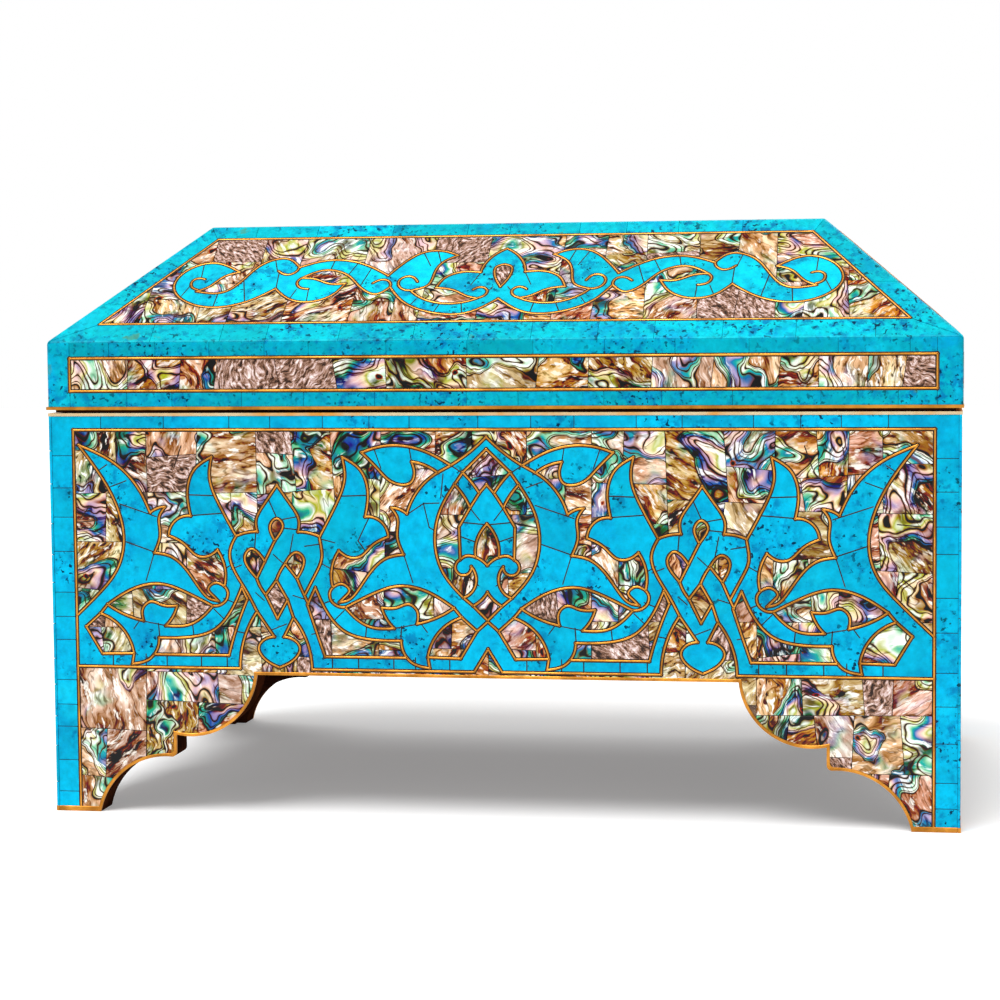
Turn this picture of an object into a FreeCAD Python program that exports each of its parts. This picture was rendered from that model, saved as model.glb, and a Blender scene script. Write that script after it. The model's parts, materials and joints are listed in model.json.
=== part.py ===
"""Inlaid wooden casket with a hipped lid on bracket feet.

A wooden carcass carries a thin skin of turquoise and shell pieces divided by brass.
Millimetres. +Z is up, the front faces -Y, and the origin is the middle of the footprint on the floor.
"""
import FreeCAD, Part
import math
import os

V = FreeCAD.Vector

# Driving dimensions of the casket
WIDTH = 360.0
DEPTH = 234.0
BODY_TOP = 160.7
LID_OVERHANG = 0.5
LID_FOLD = 189.0
LID_TOP = 235.7
LID_INSET = 54.25
SKIN = 1.3
BOARD = 13.0
LID_BOARD = 12.0
LID_GAP = 0.3

# Floor of the box and the groove that holds it
FLOOR_BOTTOM = 62.0
FLOOR_THICK = 8.0
GROOVE = 5.0

# Brass strips along the meeting edges of body and lid
RIM_HEIGHT = 1.2
RIM_WIDTH = 3.0
LID_RIM_BOTTOM = 162.0

# Bracket feet, measured from the corner of the face
APRON_UNDERSIDE = 56.5
LOBE_FROM_CORNER = 56.6
LOBE_CENTRE_Z = 59.3
LOBE_RADIUS = 28.0
STEP_FROM_CORNER = 50.8
TOE_ROUND = 2.0
COVE_FROM_CORNER = 46.8
COVE_CENTRE_Z = -5.8
COVE_RADIUS = 28.8
EDGING = 1.2
FOOT_STRIP = 2.0

# Cutting of the skin: greatest height of a curve over its flats, and the reach of a closed end
FLAT = 0.2
SNAP = 0.001

# Frames of the four body faces
STILE = 9.8
WIRE = 1.0
FIELD_TOP = 153.5
BASE_BOTTOM = 59.0
BASE_TOP = 64.2

# Frames of the lid
BAND_FIELD_BOTTOM = 170.0
BAND_FIELD_TOP = 182.0
BAND_FIELD_END = 10.5
SLOPE_FIELD_BOTTOM = 11.5
SLOPE_FIELD_TOP = 63.0
SLOPE_BOTTOM_END = 20.5
SLOPE_TOP_END = 59.0
TOP_BORDER = 10.0

# Butt hinges let into the back edges
HINGE_OFFSET = 95.0
HINGE_LENGTH = 42.0
HINGE_LEAF = 1.2
HINGE_LEAF_WIDTH = 10.0
HINGE_BEHIND = 3.0
BARREL_RADIUS = 2.2
PIN_RADIUS = 1.1
PIN_CLEARANCE = 0.05
KNUCKLE_GAP = 0.3

# Arabesque of the front, laid out in units mirrored about the lens and the knot
LENS_TO_KNOT = 84.0
CROSSING_Z = 79.0
PATTERN_SHIFT = -2.2

# Worked-out sizes
HALF_WIDTH = WIDTH / 2
HALF_DEPTH = DEPTH / 2
LID_HALF_WIDTH = HALF_WIDTH + LID_OVERHANG
LID_HALF_DEPTH = HALF_DEPTH + LID_OVERHANG
SLOPE = math.atan2(LID_TOP - LID_FOLD, LID_INSET)
BODY_SKIN_TOP = BODY_TOP - RIM_HEIGHT
LID_RIM_TOP = LID_RIM_BOTTOM + RIM_HEIGHT
LID_BOTTOM = BODY_TOP + LID_GAP
HINGE_Y = HALF_DEPTH + HINGE_BEHIND
HINGE_Z = BODY_TOP + LID_GAP / 2


# Plane outlines: a chain is a list of runs, and each run is a smooth curve through its points
def link(start, *runs):
    """Join runs end to end; each is given by the points that follow the last one."""
    chain = []
    for run in runs:
        chain.append([start] + list(run))
        start = run[-1]
    return chain


def mirrored(chain, axis):
    """Mirror a chain about an upright axis and keep it running from left to right."""
    return [[(2 * axis - x, z) for x, z in reversed(run)] for run in reversed(chain)]


def shifted(chain, distance):
    return [[(x + distance, z) for x, z in run] for run in chain]


def both_halves(half):
    """Close a right half whose ends lie on the axis with its mirror image."""
    return half + mirrored(half, 0)


def curve_of(run):
    """Straight line, arc or spline through the points of a run."""
    points = [V(x, z, 0) for x, z in run]
    if len(points) == 2:
        return Part.LineSegment(*points)
    if len(points) == 3:
        return Part.Arc(*points)
    curve = Part.BSplineCurve()
    curve.interpolate(points)
    return curve


def closed_runs(chain):
    first, last = chain[0][0], chain[-1][-1]
    return chain + [[last, first]] if math.dist(first, last) > SNAP else chain


def curved_wire(chain):
    return Part.Wire([curve_of(run).toShape() for run in closed_runs(chain)])


def sawn_wire(chain):
    """The same outline cut in short flats, as a fret saw leaves it."""
    points = []
    for run in closed_runs(chain):
        ends = run if len(run) == 2 else curve_of(run).discretize(Deflection=FLAT)
        points += [V(*point) for point in ends[:-1]]
    return Part.makePolygon(points + points[:1])


def plate(chain, holes=(), thickness=SKIN, outline=sawn_wire):
    """A plate whose outer face lies at height 0 and whose back lies one thickness below."""
    face = Part.makeFace([outline(loop) for loop in (chain, *holes)], "Part::FaceMakerBullseye")
    face.translate(V(0, 0, -thickness))
    return face.extrude(V(0, 0, thickness))


def rectangle(x0, z0, x1, z1):
    return link((x0, z0), [(x1, z0)], [(x1, z1)], [(x0, z1)])


def bar(x0, z0, x1, z1):
    return plate(rectangle(x0, z0, x1, z1))


def block(x0, x1, y0, y1, z0, z1):
    return Part.makeBox(x1 - x0, y1 - y0, z1 - z0, V(x0, y0, z0))


def ring(half_x, half_y, z0, z1, width):
    """A rectangular frame, such as a brass rim."""
    outer = block(-half_x, half_x, -half_y, half_y, z0, z1)
    return outer.cut(block(width - half_x, half_x - width, width - half_y, half_y - width, z0, z1))


# Faces of the casket, turned about the upright axis
TURNS = {"front": 0, "right": 90, "back": 180, "left": 270}


def reach_of(side, half_width, half_depth):
    """Half the length of a side's face, and the distance of that face from the axis."""
    if side in ("front", "back"):
        return half_width, half_depth
    return half_depth, half_width


def seat(shape, side, tilt, reach, lift):
    """Carry a plate from the drawing plane to a face of the casket."""
    lean = FreeCAD.Placement(V(0, -reach, lift), FreeCAD.Rotation(V(1, 0, 0), tilt))
    turn = FreeCAD.Placement(V(0, 0, 0), FreeCAD.Rotation(V(0, 0, 1), TURNS[side]))
    seated = shape.copy()
    seated.Placement = turn.multiply(lean)
    return seated


def upright(shapes, side, reach):
    return [seat(shape, side, 90, reach, 0) for shape in shapes]


def save(name, shapes):
    whole = shapes[0] if len(shapes) == 1 else Part.makeCompound(shapes)
    whole.exportStep(os.path.join("parts", name + ".step"))


# Bracket feet
def apron(half, inset=0.0, foot=0.0):
    """Lower outline of a face from the left foot to the right one, moved into the face by inset."""
    underside = APRON_UNDERSIDE + inset
    lobe_x = half - LOBE_FROM_CORNER
    lobe_r = LOBE_RADIUS - inset
    lobe_start = lobe_x - math.sqrt(lobe_r ** 2 - (LOBE_CENTRE_Z - underside) ** 2)
    turn = math.radians(225)
    lobe_middle = (lobe_x + lobe_r * math.cos(turn), LOBE_CENTRE_Z + lobe_r * math.sin(turn))
    step_x = half - STEP_FROM_CORNER + inset
    lobe_end_z = LOBE_CENTRE_Z - math.sqrt(lobe_r ** 2 - (step_x - lobe_x) ** 2)
    cove_x = half - COVE_FROM_CORNER
    cove_r = COVE_RADIUS + inset

    def cove(x):
        return (x, COVE_CENTRE_Z + math.sqrt(cove_r ** 2 - (x - cove_x) ** 2))

    toe = cove(step_x + TOE_ROUND)
    toe_middle = (step_x + TOE_ROUND * 0.3, toe[1] + TOE_ROUND * 0.3)
    foot_x = cove_x + math.sqrt(cove_r ** 2 - (foot - COVE_CENTRE_Z) ** 2)
    right = link((0, underside), [(lobe_start, underside)], [lobe_middle, (step_x, lobe_end_z)],
                 [(step_x, toe[1] + TOE_ROUND)], [toe_middle, toe],
                 [cove(cove_x + cove_r * 0.72), (foot_x, foot)])
    return mirrored(right, 0) + right


def board(half, end, thickness):
    """A wall of the box with its arched apron, cut off at both ends."""
    low = apron(half)
    chain = [[(-end, 0), low[0][0]]] + low
    chain += link(low[-1][-1], [(end, 0)], [(end, BODY_TOP)], [(-end, BODY_TOP)])
    return plate(chain, thickness=thickness, outline=curved_wire)


def side_board(half, end, thickness):
    whole = board(half, half, thickness)
    return whole.common(block(-end, end, 0, BODY_TOP, -thickness, 0))


def edging(half, end):
    """Brass strip that binds the skin along the arch and under the feet."""
    low = apron(half)
    high = apron(half, EDGING, FOOT_STRIP)
    chain = [[(-end, 0), low[0][0]]] + low
    chain += link(low[-1][-1], [(end, 0)], [(end, FOOT_STRIP)], [high[-1][-1]])
    chain += [list(reversed(run)) for run in reversed(high)]
    chain += link(high[0][0], [(-end, FOOT_STRIP)])
    return plate(chain)


# Carcass of the box
floor_x = HALF_WIDTH - SKIN - BOARD + GROOVE
floor_y = HALF_DEPTH - SKIN - BOARD + GROOVE
floor_panel = block(-floor_x, floor_x, -floor_y, floor_y, FLOOR_BOTTOM, FLOOR_BOTTOM + FLOOR_THICK)
body_rim = ring(HALF_WIDTH, HALF_DEPTH, BODY_SKIN_TOP, BODY_TOP, RIM_WIDTH)


def leaf_bed(centre, z0, z1):
    """Recess for one hinge leaf."""
    return block(centre - HINGE_LENGTH / 2, centre + HINGE_LENGTH / 2,
                 HALF_DEPTH - HINGE_LEAF_WIDTH, HINGE_Y, z0, z1)


HINGES = {"left": -HINGE_OFFSET, "right": HINGE_OFFSET}
lower_beds = [leaf_bed(x, BODY_TOP - HINGE_LEAF, BODY_TOP) for x in HINGES.values()]
upper_beds = [leaf_bed(x, LID_BOTTOM, LID_BOTTOM + HINGE_LEAF) for x in HINGES.values()]


def cut_all(shape, tools):
    for tool in tools:
        shape = shape.cut(tool)
    return shape


def make_carcass():
    for side in TURNS:
        half, reach = reach_of(side, HALF_WIDTH, HALF_DEPTH)
        if side in ("front", "back"):
            wall = board(half, half - SKIN, BOARD)
        else:
            wall = side_board(half, half - SKIN - BOARD, BOARD)
        wall = seat(wall, side, 90, reach - SKIN, 0)
        save(side + "_board", [cut_all(wall, [floor_panel, body_rim] + lower_beds)])
    save("floor_panel", [floor_panel])
    save("body_rim", [cut_all(body_rim, lower_beds)])


# Front arabesque. Heights are above the floor, widths from the axis of the lens.
CREST = link((0, 151.2), [(4, 147.4), (14.1, 140.1)],
             [(23.3, 145.1), (33.2, 147.7), (43, 147.2), (49.7, 145.1)],
             [(43, 138.4), (36.7, 133.1), (30, 133.4), (28.6, 137), (29.6, 141.4)],
             [(25.2, 140.4), (19.4, 137.2)], [(26.8, 130.8), (31.8, 121.1)])
LEAVES = link((31.8, 121.1), [(34.8, 122.8), (38.1, 123.4)], [(35.6, 119.5), (35.8, 113), (33.3, 105)],
              [(40.2, 103.5), (47.4, 97), (52.2, 90.2), (55.6, 86.9), (59.3, 85.9)],
              [(57, 88.2), (55.2, 90.6), (57.8, 93.1), (61.9, 91.9)], [(62.4, 98), (59.3, 106.3)],
              [(55.5, 103.8), (51.5, 103.7), (45.9, 108.4), (39.3, 111.9)], [(42.1, 117.9), (48.5, 119.8)],
              [(47.3, 129), (50.4, 138.4), (57.5, 143.3)], [(56.5, 136), (60.4, 124.2), (67, 111.9)],
              [(70.8, 113.2), (75.7, 113.7)], [(75.2, 117.5), (78.6, 124.5), (84, 132.2)])
EYE = link((57, 83.9), [(46.6, 89), (35.5, 92.5), (23.3, 90.1), (13.4, 84.1)], [(20.3, 80.2), (28.2, 77.7)],
           [(28.1, 82.8), (31.2, 85.4), (36, 84.1), (42.3, 83.9)], [(40.6, 79.8), (37.4, 75.8)],
           [(47.3, 76.4), (52.5, 79.4), (57, 83.9)])
TAIL_WINDOW = link((4.3, 75.1), [(10.3, 80.4)], [(19.3, 74.6), (24, 64.5)], [(12.4, BASE_TOP)],
                   [(9.4, 66.4), (4.3, 75.1)])
SWAG = link((32.4, BASE_TOP), [(34.1, 67.4), (34.6, 70.9)],
            [(48, 71.4), (57.1, 74.2), (64.7, 82.5), (69, 91.6)])
LEFT_LEG = link((69, 91.6), [(71.2, 86.8)], [(66.7, 75.5), (63.3, BASE_TOP)])
RIGHT_LEG = link((69, 91.6), [(72.3, 84.8)], [(68.2, 72.4), (65.4, BASE_TOP)])
TOP_DIAMOND = link((0, 146.4), [(9.4, 137.3)], [(6, 133.6), (2.9, 129.3)], [(0, 132.6)])
ALMOND = link((0, 117.2), [(3.2, 112.8), (4.6, 104.2)], [(2.2, 103), (0, 101)])
LOWER_DIAMOND = link((0, 90.4), [(2.6, 87.2), (5.7, 85)], [(0, 79.4)])
CRESCENT = link((12.7, 132.6), [(18.3, 122.9), (20.7, 110.5), (17.7, 98.3), (9.6, 88.2)],
                [(4.6, 93.6), (6.3, 100.4)], [(9.5, 97), (10.7, 103.2)], [(11.1, 116)],
                [(6.6, 123.6)], [(9.4, 128.6), (12.7, 132.6)])

# Knot, from its own axis
TEARDROP = link((-1.2, 110.2), [(1.4, 113.9), (2.1, 116.6), (-0.2, 118.9), (-2.9, 116.6), (-2.6, 113),
                                (-1.2, 110.2)])
LEFT_LOOP = link((-8.8, 95.2), [(-12.3, 99.6), (-13.5, 104), (-11, 106.8), (-8, 105.3), (-5.4, 101.9)])
RIGHT_LOOP = link((7.6, 95.2), [(10.2, 100.2), (10.3, 103.4), (7.5, 105.5), (5, 104.2), (2.9, 101.1)])
KNOT_DIAMOND = link((-0.8, 94.4), [(3.6, 86.7)], [(-0.6, 79.3)], [(-5.2, 88.6)])
HEART_WINDOW = link((-16.1, BASE_BOTTOM), [(-13.6, 73), (-8.9, 81.9)], [(-2, 71.9)],
                    [(-5.6, 71), (-8.4, 67.8), (-5.8, 62.8), (0, 59.6)],
                    [(5.8, 62.8), (8.4, 67.8), (5.6, 71), (2, 71.9)], [(5.9, 79.6)],
                    [(10.6, 71.8), (13.2, BASE_BOTTOM)])
NOTCH = link((-5.6, BASE_BOTTOM), [(0, 68.1)], [(5.6, BASE_BOTTOM)])


def lens_end(frame_x):
    """Half lens and strap where the pattern runs out against the frame."""
    strap_foot = (frame_x, CROSSING_Z + frame_x)
    return link(strap_foot, [(9.6, 88.2), (17.7, 98.3), (20.7, 110.5), (18.3, 122.9), (2.6, 148)],
                [(17.6, 140.6), (27.4, 130.2), (31.8, 121.1)])


def front_pattern(frame_x):
    """Upper and lower outlines of the turquoise net, and the shell windows in it."""
    repeat = 2 * LENS_TO_KNOT
    left_end = lens_end(repeat - PATTERN_SHIFT - frame_x)
    right_end = lens_end(repeat + PATTERN_SHIFT - frame_x)
    upper = shifted(left_end + LEAVES, -repeat) + mirrored(CREST + LEAVES, 0)
    upper += CREST + LEAVES + mirrored(shifted(right_end + LEAVES, -repeat), 0)
    knots = (-LENS_TO_KNOT, LENS_TO_KNOT)
    lower = shifted(HEART_WINDOW, knots[0])
    lower += [[lower[-1][-1], NOTCH[0][0]]] + NOTCH
    heart = shifted(HEART_WINDOW, knots[1])
    lower += [[NOTCH[-1][-1], heart[0][0]]] + heart
    windows = [both_halves(half) for half in (TOP_DIAMOND, ALMOND, LOWER_DIAMOND)]
    windows += [CRESCENT, mirrored(CRESCENT, 0)]
    for window in (EYE, TAIL_WINDOW):
        other = mirrored(window, 0)
        windows += [window, other, shifted(window, -repeat), shifted(other, repeat)]
    near, far = SWAG + LEFT_LEG, SWAG + RIGHT_LEG
    windows += [near, shifted(near, -repeat), mirrored(far, 0), mirrored(shifted(far, -repeat), 0)]
    for knot in knots:
        windows += [shifted(window, knot) for window in (TEARDROP, LEFT_LOOP, RIGHT_LOOP, KNOT_DIAMOND)]
    upper, lower = shifted(upper, PATTERN_SHIFT), shifted(lower, PATTERN_SHIFT)
    return upper, lower, [shifted(window, PATTERN_SHIFT) for window in windows]


# Skin of the four body faces
def frame_x_of(half):
    return half - STILE - WIRE


def face_border(half, end):
    """Turquoise stiles and top rail."""
    stile_x = half - STILE
    top = bar(-stile_x, FIELD_TOP + WIRE, stile_x, BODY_SKIN_TOP)
    return [bar(-end, FOOT_STRIP, -stile_x, BODY_SKIN_TOP), top, bar(stile_x, FOOT_STRIP, end, BODY_SKIN_TOP)]


def face_wire(half):
    """Brass wire round the field: two uprights and the top."""
    inner, outer = frame_x_of(half), half - STILE
    chain = link((-outer, FOOT_STRIP), [(-outer, FIELD_TOP + WIRE)], [(outer, FIELD_TOP + WIRE)],
                 [(outer, FOOT_STRIP)], [(inner, FOOT_STRIP)], [(inner, FIELD_TOP)], [(-inner, FIELD_TOP)],
                 [(-inner, FOOT_STRIP)])
    return [plate(chain)]


def lower_field(half, top_chain):
    """Shell between the base band and the brass edging, down into the feet."""
    frame_x = frame_x_of(half)
    low = apron(half, EDGING, FOOT_STRIP)
    chain = [[(-frame_x, FOOT_STRIP), low[0][0]]] + low
    chain += link(low[-1][-1], [(frame_x, FOOT_STRIP)], [(frame_x, BASE_BOTTOM)])
    if top_chain:
        chain.append([(frame_x, BASE_BOTTOM), top_chain[-1][-1]])
        chain += [list(reversed(run)) for run in reversed(top_chain)]
        chain.append([top_chain[0][0], (-frame_x, BASE_BOTTOM)])
    else:
        chain += link((frame_x, BASE_BOTTOM), [(-frame_x, BASE_BOTTOM)])
    return plate(chain)


def front_field():
    """Turquoise net and the shell set into and around it."""
    frame_x = frame_x_of(HALF_WIDTH)
    upper, lower, windows = front_pattern(frame_x)
    left, right = upper[0][0], upper[-1][-1]
    net = upper + link(right, [(frame_x, BASE_BOTTOM)], [lower[-1][-1]])
    net += [list(reversed(run)) for run in reversed(lower)]
    net += link(lower[0][0], [(-frame_x, BASE_BOTTOM)], [left])
    crown = upper + link(right, [(frame_x, FIELD_TOP)], [(-frame_x, FIELD_TOP)], [left])
    shell = [plate(crown), lower_field(HALF_WIDTH, lower)] + [plate(window) for window in windows]
    return [plate(net, windows)], shell


def plain_field(half):
    """Shell field over a straight base band between two wires."""
    frame_x = frame_x_of(half)
    band = [bar(-frame_x, BASE_BOTTOM + WIRE, frame_x, BASE_TOP)]
    wires = [bar(-frame_x, z, frame_x, z + WIRE) for z in (BASE_BOTTOM, BASE_TOP)]
    shell = [bar(-frame_x, BASE_TOP + WIRE, frame_x, FIELD_TOP), lower_field(half, None)]
    return band, wires, shell


def make_body_skin():
    for side in TURNS:
        half, reach = reach_of(side, HALF_WIDTH, HALF_DEPTH)
        end = half - SKIN if side in ("front", "back") else half
        border, wire = face_border(half, end), face_wire(half)
        if side == "front":
            net, shell = front_field()
            save("front_arabesque", upright(net, side, reach))
        else:
            band, base_wires, shell = plain_field(half)
            border += band
            wire += base_wires
        save(side + "_border", upright(border, side, reach))
        save(side + "_wire", upright(wire, side, reach))
        save(side + "_shell", upright(shell, side, reach))
        save(side + "_edging", upright([edging(half, end)], side, reach))


# Hipped lid
def hip(inset, bottom):
    """The lid's outside form, moved in by inset on every face."""
    def outline(half_x, half_y, z):
        return [V(-half_x, -half_y, z), V(half_x, -half_y, z), V(half_x, half_y, z), V(-half_x, half_y, z)]

    fold = LID_FOLD - inset * (1 - math.sin(SLOPE)) / math.cos(SLOPE)
    top = LID_TOP - inset
    back = (inset + (top - LID_FOLD) * math.cos(SLOPE)) / math.sin(SLOPE)
    wall_x, wall_y = LID_HALF_WIDTH - inset, LID_HALF_DEPTH - inset
    levels = [outline(wall_x, wall_y, bottom), outline(wall_x, wall_y, fold),
              outline(LID_HALF_WIDTH - back, LID_HALF_DEPTH - back, top)]
    faces = [levels[0], levels[-1]]
    for low, high in zip(levels, levels[1:]):
        faces += [[low[i], low[i + 1], high[i + 1], high[i]] for i in (-1, 0, 1, 2)]
    sheets = [Part.Face(Part.makePolygon(corners + corners[:1])) for corners in faces]
    return Part.makeSolid(Part.makeShell(sheets))


def sector(side):
    """Upright prism over one side of the lid, mitred at the corners and ending at the flat top."""
    half, reach = reach_of(side, LID_HALF_WIDTH, LID_HALF_DEPTH)
    inner_half, inner_reach = half - LID_INSET, reach - LID_INSET
    corners = [V(-half, -reach, 0), V(half, -reach, 0),
               V(inner_half, -inner_reach, 0), V(-inner_half, -inner_reach, 0)]
    prism = Part.Face(Part.makePolygon(corners + corners[:1])).extrude(V(0, 0, LID_TOP))
    prism.Placement = FreeCAD.Placement(V(0, 0, 0), FreeCAD.Rotation(V(0, 0, 1), TURNS[side]))
    return prism


SPAN = 2 * WIDTH
below_fold = block(-SPAN, SPAN, -SPAN, SPAN, 0, LID_FOLD)
over_top = block(LID_INSET - LID_HALF_WIDTH, LID_HALF_WIDTH - LID_INSET,
                 LID_INSET - LID_HALF_DEPTH, LID_HALF_DEPTH - LID_INSET, 0, LID_TOP)


def make_lid_boards():
    shell = hip(SKIN, LID_BOTTOM).cut(hip(SKIN + LID_BOARD, LID_BOTTOM - 1))
    rebate = ring(LID_HALF_WIDTH, LID_HALF_DEPTH, LID_BOTTOM, LID_RIM_TOP, RIM_WIDTH)
    shell = cut_all(shell, [rebate] + upper_beds)
    for side in TURNS:
        part = shell.common(sector(side))
        save("lid_" + side + "_rail", part.common(below_fold).Solids)
        save("lid_" + side + "_slope", part.cut(below_fold).Solids)
    save("lid_top_board", shell.common(over_top).Solids)
    rim = ring(LID_HALF_WIDTH, LID_HALF_DEPTH, LID_RIM_BOTTOM, LID_RIM_TOP, RIM_WIDTH)
    save("lid_rim", [cut_all(rim, upper_beds)])


# Scroll on the front slope of the lid: right half, heights measured up the slope
SCROLL = link((0, 55.2), [(6.6, 48.5), (9, 40.6)], [(16, 41), (23, 37.5), (25.9, 31.4)],
              [(18, 29.5), (12.4, 25.9), (8.4, 24.7)], [(20.2, 21.7), (36, 29.9)],
              [(29.3, 33.2), (27.8, 40), (25, 47.3), (19.5, 51.3)],
              [(24.8, 53.8), (33, 53.8), (40.5, 47.8), (46.5, 39.2)],
              [(54, 44.5), (62, 48.2), (74, 48.9), (84, 45)],
              [(90, 50.5), (98, 48.6), (105.5, 38.8), (113, 30), (124.2, 30.6)],
              [(119.4, 33.7), (114.5, 39.7), (108.6, 42.4)],
              [(121, 48.4), (132.5, 41.8), (134.4, 33.8), (125, 23), (113, 20.8), (101, 24.7), (91.7, 31.8)],
              [(84, 24.9), (76, 23.6), (67.2, 28), (63.3, 34.6)], [(69.6, 34.5), (76.4, 37.6), (82, 38.2)],
              [(73, 43), (63.6, 40), (56.5, 31.8), (49.6, 27.9), (44.7, 32)],
              [(38.6, 23.6), (27, 16.8), (12, 16), (0, 24.4)])
LID_TEARDROP = link((0, 45.4), [(2.9, 44), (3.4, 40.4), (0, 31.6)])


def slope_outline(side, inset=0.0):
    """Trapezium of the shell field on one slope, moved out by inset."""
    half, _ = reach_of(side, LID_HALF_WIDTH, LID_HALF_DEPTH)
    low, high = SLOPE_FIELD_BOTTOM - inset, SLOPE_FIELD_TOP + inset
    lean = (SLOPE_TOP_END - SLOPE_BOTTOM_END) / (SLOPE_FIELD_TOP - SLOPE_FIELD_BOTTOM)
    step = inset * math.hypot(1, lean)
    low_x = half - SLOPE_BOTTOM_END + step + lean * inset
    high_x = half - SLOPE_TOP_END + step - lean * inset
    return link((-low_x, low), [(low_x, low)], [(high_x, high)], [(-high_x, high)])


def band_outline(side, inset=0.0):
    half, _ = reach_of(side, LID_HALF_WIDTH, LID_HALF_DEPTH)
    x = half - BAND_FIELD_END + inset
    return rectangle(-x, BAND_FIELD_BOTTOM - inset, x, BAND_FIELD_TOP + inset)


def make_lid_skin():
    skin = hip(0, LID_RIM_TOP).cut(hip(SKIN, LID_RIM_TOP - 1))
    tilt = math.degrees(SLOPE)
    for side in TURNS:
        _, reach = reach_of(side, LID_HALF_WIDTH, LID_HALF_DEPTH)

        def on_band(shape):
            return seat(shape, side, 90, reach, 0)

        def on_slope(shape):
            return seat(shape, side, tilt, reach, LID_FOLD)

        band_hole = on_band(plate(band_outline(side, WIRE)))
        slope_hole = on_slope(plate(slope_outline(side, WIRE)))
        part = skin.common(sector(side))
        border = part.common(below_fold).cut(band_hole).Solids + part.cut(below_fold).cut(slope_hole).Solids
        wires = [on_band(plate(band_outline(side, WIRE), [band_outline(side)])),
                 on_slope(plate(slope_outline(side, WIRE), [slope_outline(side)]))]
        shell = [on_band(plate(band_outline(side)))]
        if side == "front":
            scroll, drop = both_halves(SCROLL), both_halves(LID_TEARDROP)
            save("lid_front_arabesque", [on_slope(plate(scroll, [drop]))])
            shell += [on_slope(plate(slope_outline(side), [scroll])), on_slope(plate(drop))]
        else:
            shell.append(on_slope(plate(slope_outline(side))))
        save("lid_" + side + "_border", border)
        save("lid_" + side + "_wire", wires)
        save("lid_" + side + "_shell", shell)
    make_lid_top_skin(skin)


def make_lid_top_skin(skin):
    x = LID_HALF_WIDTH - LID_INSET - TOP_BORDER
    y = LID_HALF_DEPTH - LID_INSET - TOP_BORDER
    inner, outer = rectangle(-x, -y, x, y), rectangle(-x - WIRE, -y - WIRE, x + WIRE, y + WIRE)

    def on_top(shape):
        return seat(shape, "front", 0, 0, LID_TOP)

    save("lid_top_border", skin.common(over_top).cut(on_top(plate(outer))).Solids)
    save("lid_top_wire", [on_top(plate(outer, [inner]))])
    save("lid_top_shell", [on_top(plate(inner))])


# Butt hinges: two outer knuckles on the body leaf, one middle knuckle on the lid leaf
def rod(x0, x1, radius):
    return Part.makeCylinder(radius, x1 - x0, V(x0, HINGE_Y, HINGE_Z), V(1, 0, 0))


def make_hinges():
    third = HINGE_LENGTH / 3
    for name, centre in HINGES.items():
        x0, x1 = centre - HINGE_LENGTH / 2, centre + HINGE_LENGTH / 2
        outer_spans = [(x0, x0 + third), (x1 - third, x1)]
        middle_span = (x0 + third + KNUCKLE_GAP, x1 - third - KNUCKLE_GAP)
        lower = leaf_bed(centre, BODY_TOP - HINGE_LEAF, BODY_TOP)
        lower = lower.cut(rod(x0 + third, x1 - third, BARREL_RADIUS + KNUCKLE_GAP))
        for span in outer_spans:
            lower = lower.fuse(rod(*span, BARREL_RADIUS))
        upper = leaf_bed(centre, LID_BOTTOM, LID_BOTTOM + HINGE_LEAF)
        for start, stop in outer_spans:
            upper = upper.cut(rod(start - KNUCKLE_GAP, stop + KNUCKLE_GAP, BARREL_RADIUS + KNUCKLE_GAP))
        upper = upper.fuse(rod(*middle_span, BARREL_RADIUS))
        save("hinge_" + name + "_body_leaf", [lower.cut(rod(x0, x1, PIN_RADIUS)).removeSplitter()])
        upper = upper.cut(rod(x0, x1, PIN_RADIUS + PIN_CLEARANCE))
        save("hinge_" + name + "_lid_leaf", [upper.removeSplitter()])
        save("hinge_" + name + "_pin", [rod(x0, x1, PIN_RADIUS)])


os.makedirs("parts", exist_ok=True)
make_carcass()
make_body_skin()
make_lid_boards()
make_lid_skin()
make_hinges()
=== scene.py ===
"""Looks of the inlaid casket: turquoise, shell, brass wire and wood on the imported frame.

The inlay of each face is drawn flat in millimetres, cut into stones and shell plates along its lines, and
carried to the face. Finished meshes are in metres, in the frame of the casket.
"""
import json
import math

import bpy
import numpy as np
from bpy.props import FloatProperty, FloatVectorProperty, PointerProperty
from mathutils import Matrix, Vector
from mathutils.geometry import delaunay_2d_cdt


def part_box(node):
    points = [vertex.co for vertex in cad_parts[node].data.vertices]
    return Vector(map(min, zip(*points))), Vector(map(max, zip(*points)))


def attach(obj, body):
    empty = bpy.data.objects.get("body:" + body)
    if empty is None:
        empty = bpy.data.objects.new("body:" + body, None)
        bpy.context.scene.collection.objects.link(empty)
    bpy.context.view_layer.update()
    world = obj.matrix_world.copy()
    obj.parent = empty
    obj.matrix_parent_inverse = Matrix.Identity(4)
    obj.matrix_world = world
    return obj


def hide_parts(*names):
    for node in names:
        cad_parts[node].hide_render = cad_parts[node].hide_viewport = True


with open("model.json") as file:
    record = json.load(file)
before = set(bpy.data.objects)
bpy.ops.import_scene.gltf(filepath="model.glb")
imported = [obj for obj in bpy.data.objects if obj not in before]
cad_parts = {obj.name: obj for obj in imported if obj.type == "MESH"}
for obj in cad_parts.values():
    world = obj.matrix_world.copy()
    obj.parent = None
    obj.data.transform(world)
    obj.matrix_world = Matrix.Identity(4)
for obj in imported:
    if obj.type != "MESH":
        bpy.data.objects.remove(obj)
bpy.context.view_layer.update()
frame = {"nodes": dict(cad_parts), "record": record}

bl_info = {
    "name": "Inlaid casket",
    "version": (1, 0, 0),
    "blender": (4, 5, 0),
    "location": "View3D > Sidebar > Casket",
    "description": "Dresses the casket in turquoise, shell and brass wire",
    "category": "Object",
}

MM = 0.001
X, Y, Z = range(3)


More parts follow.
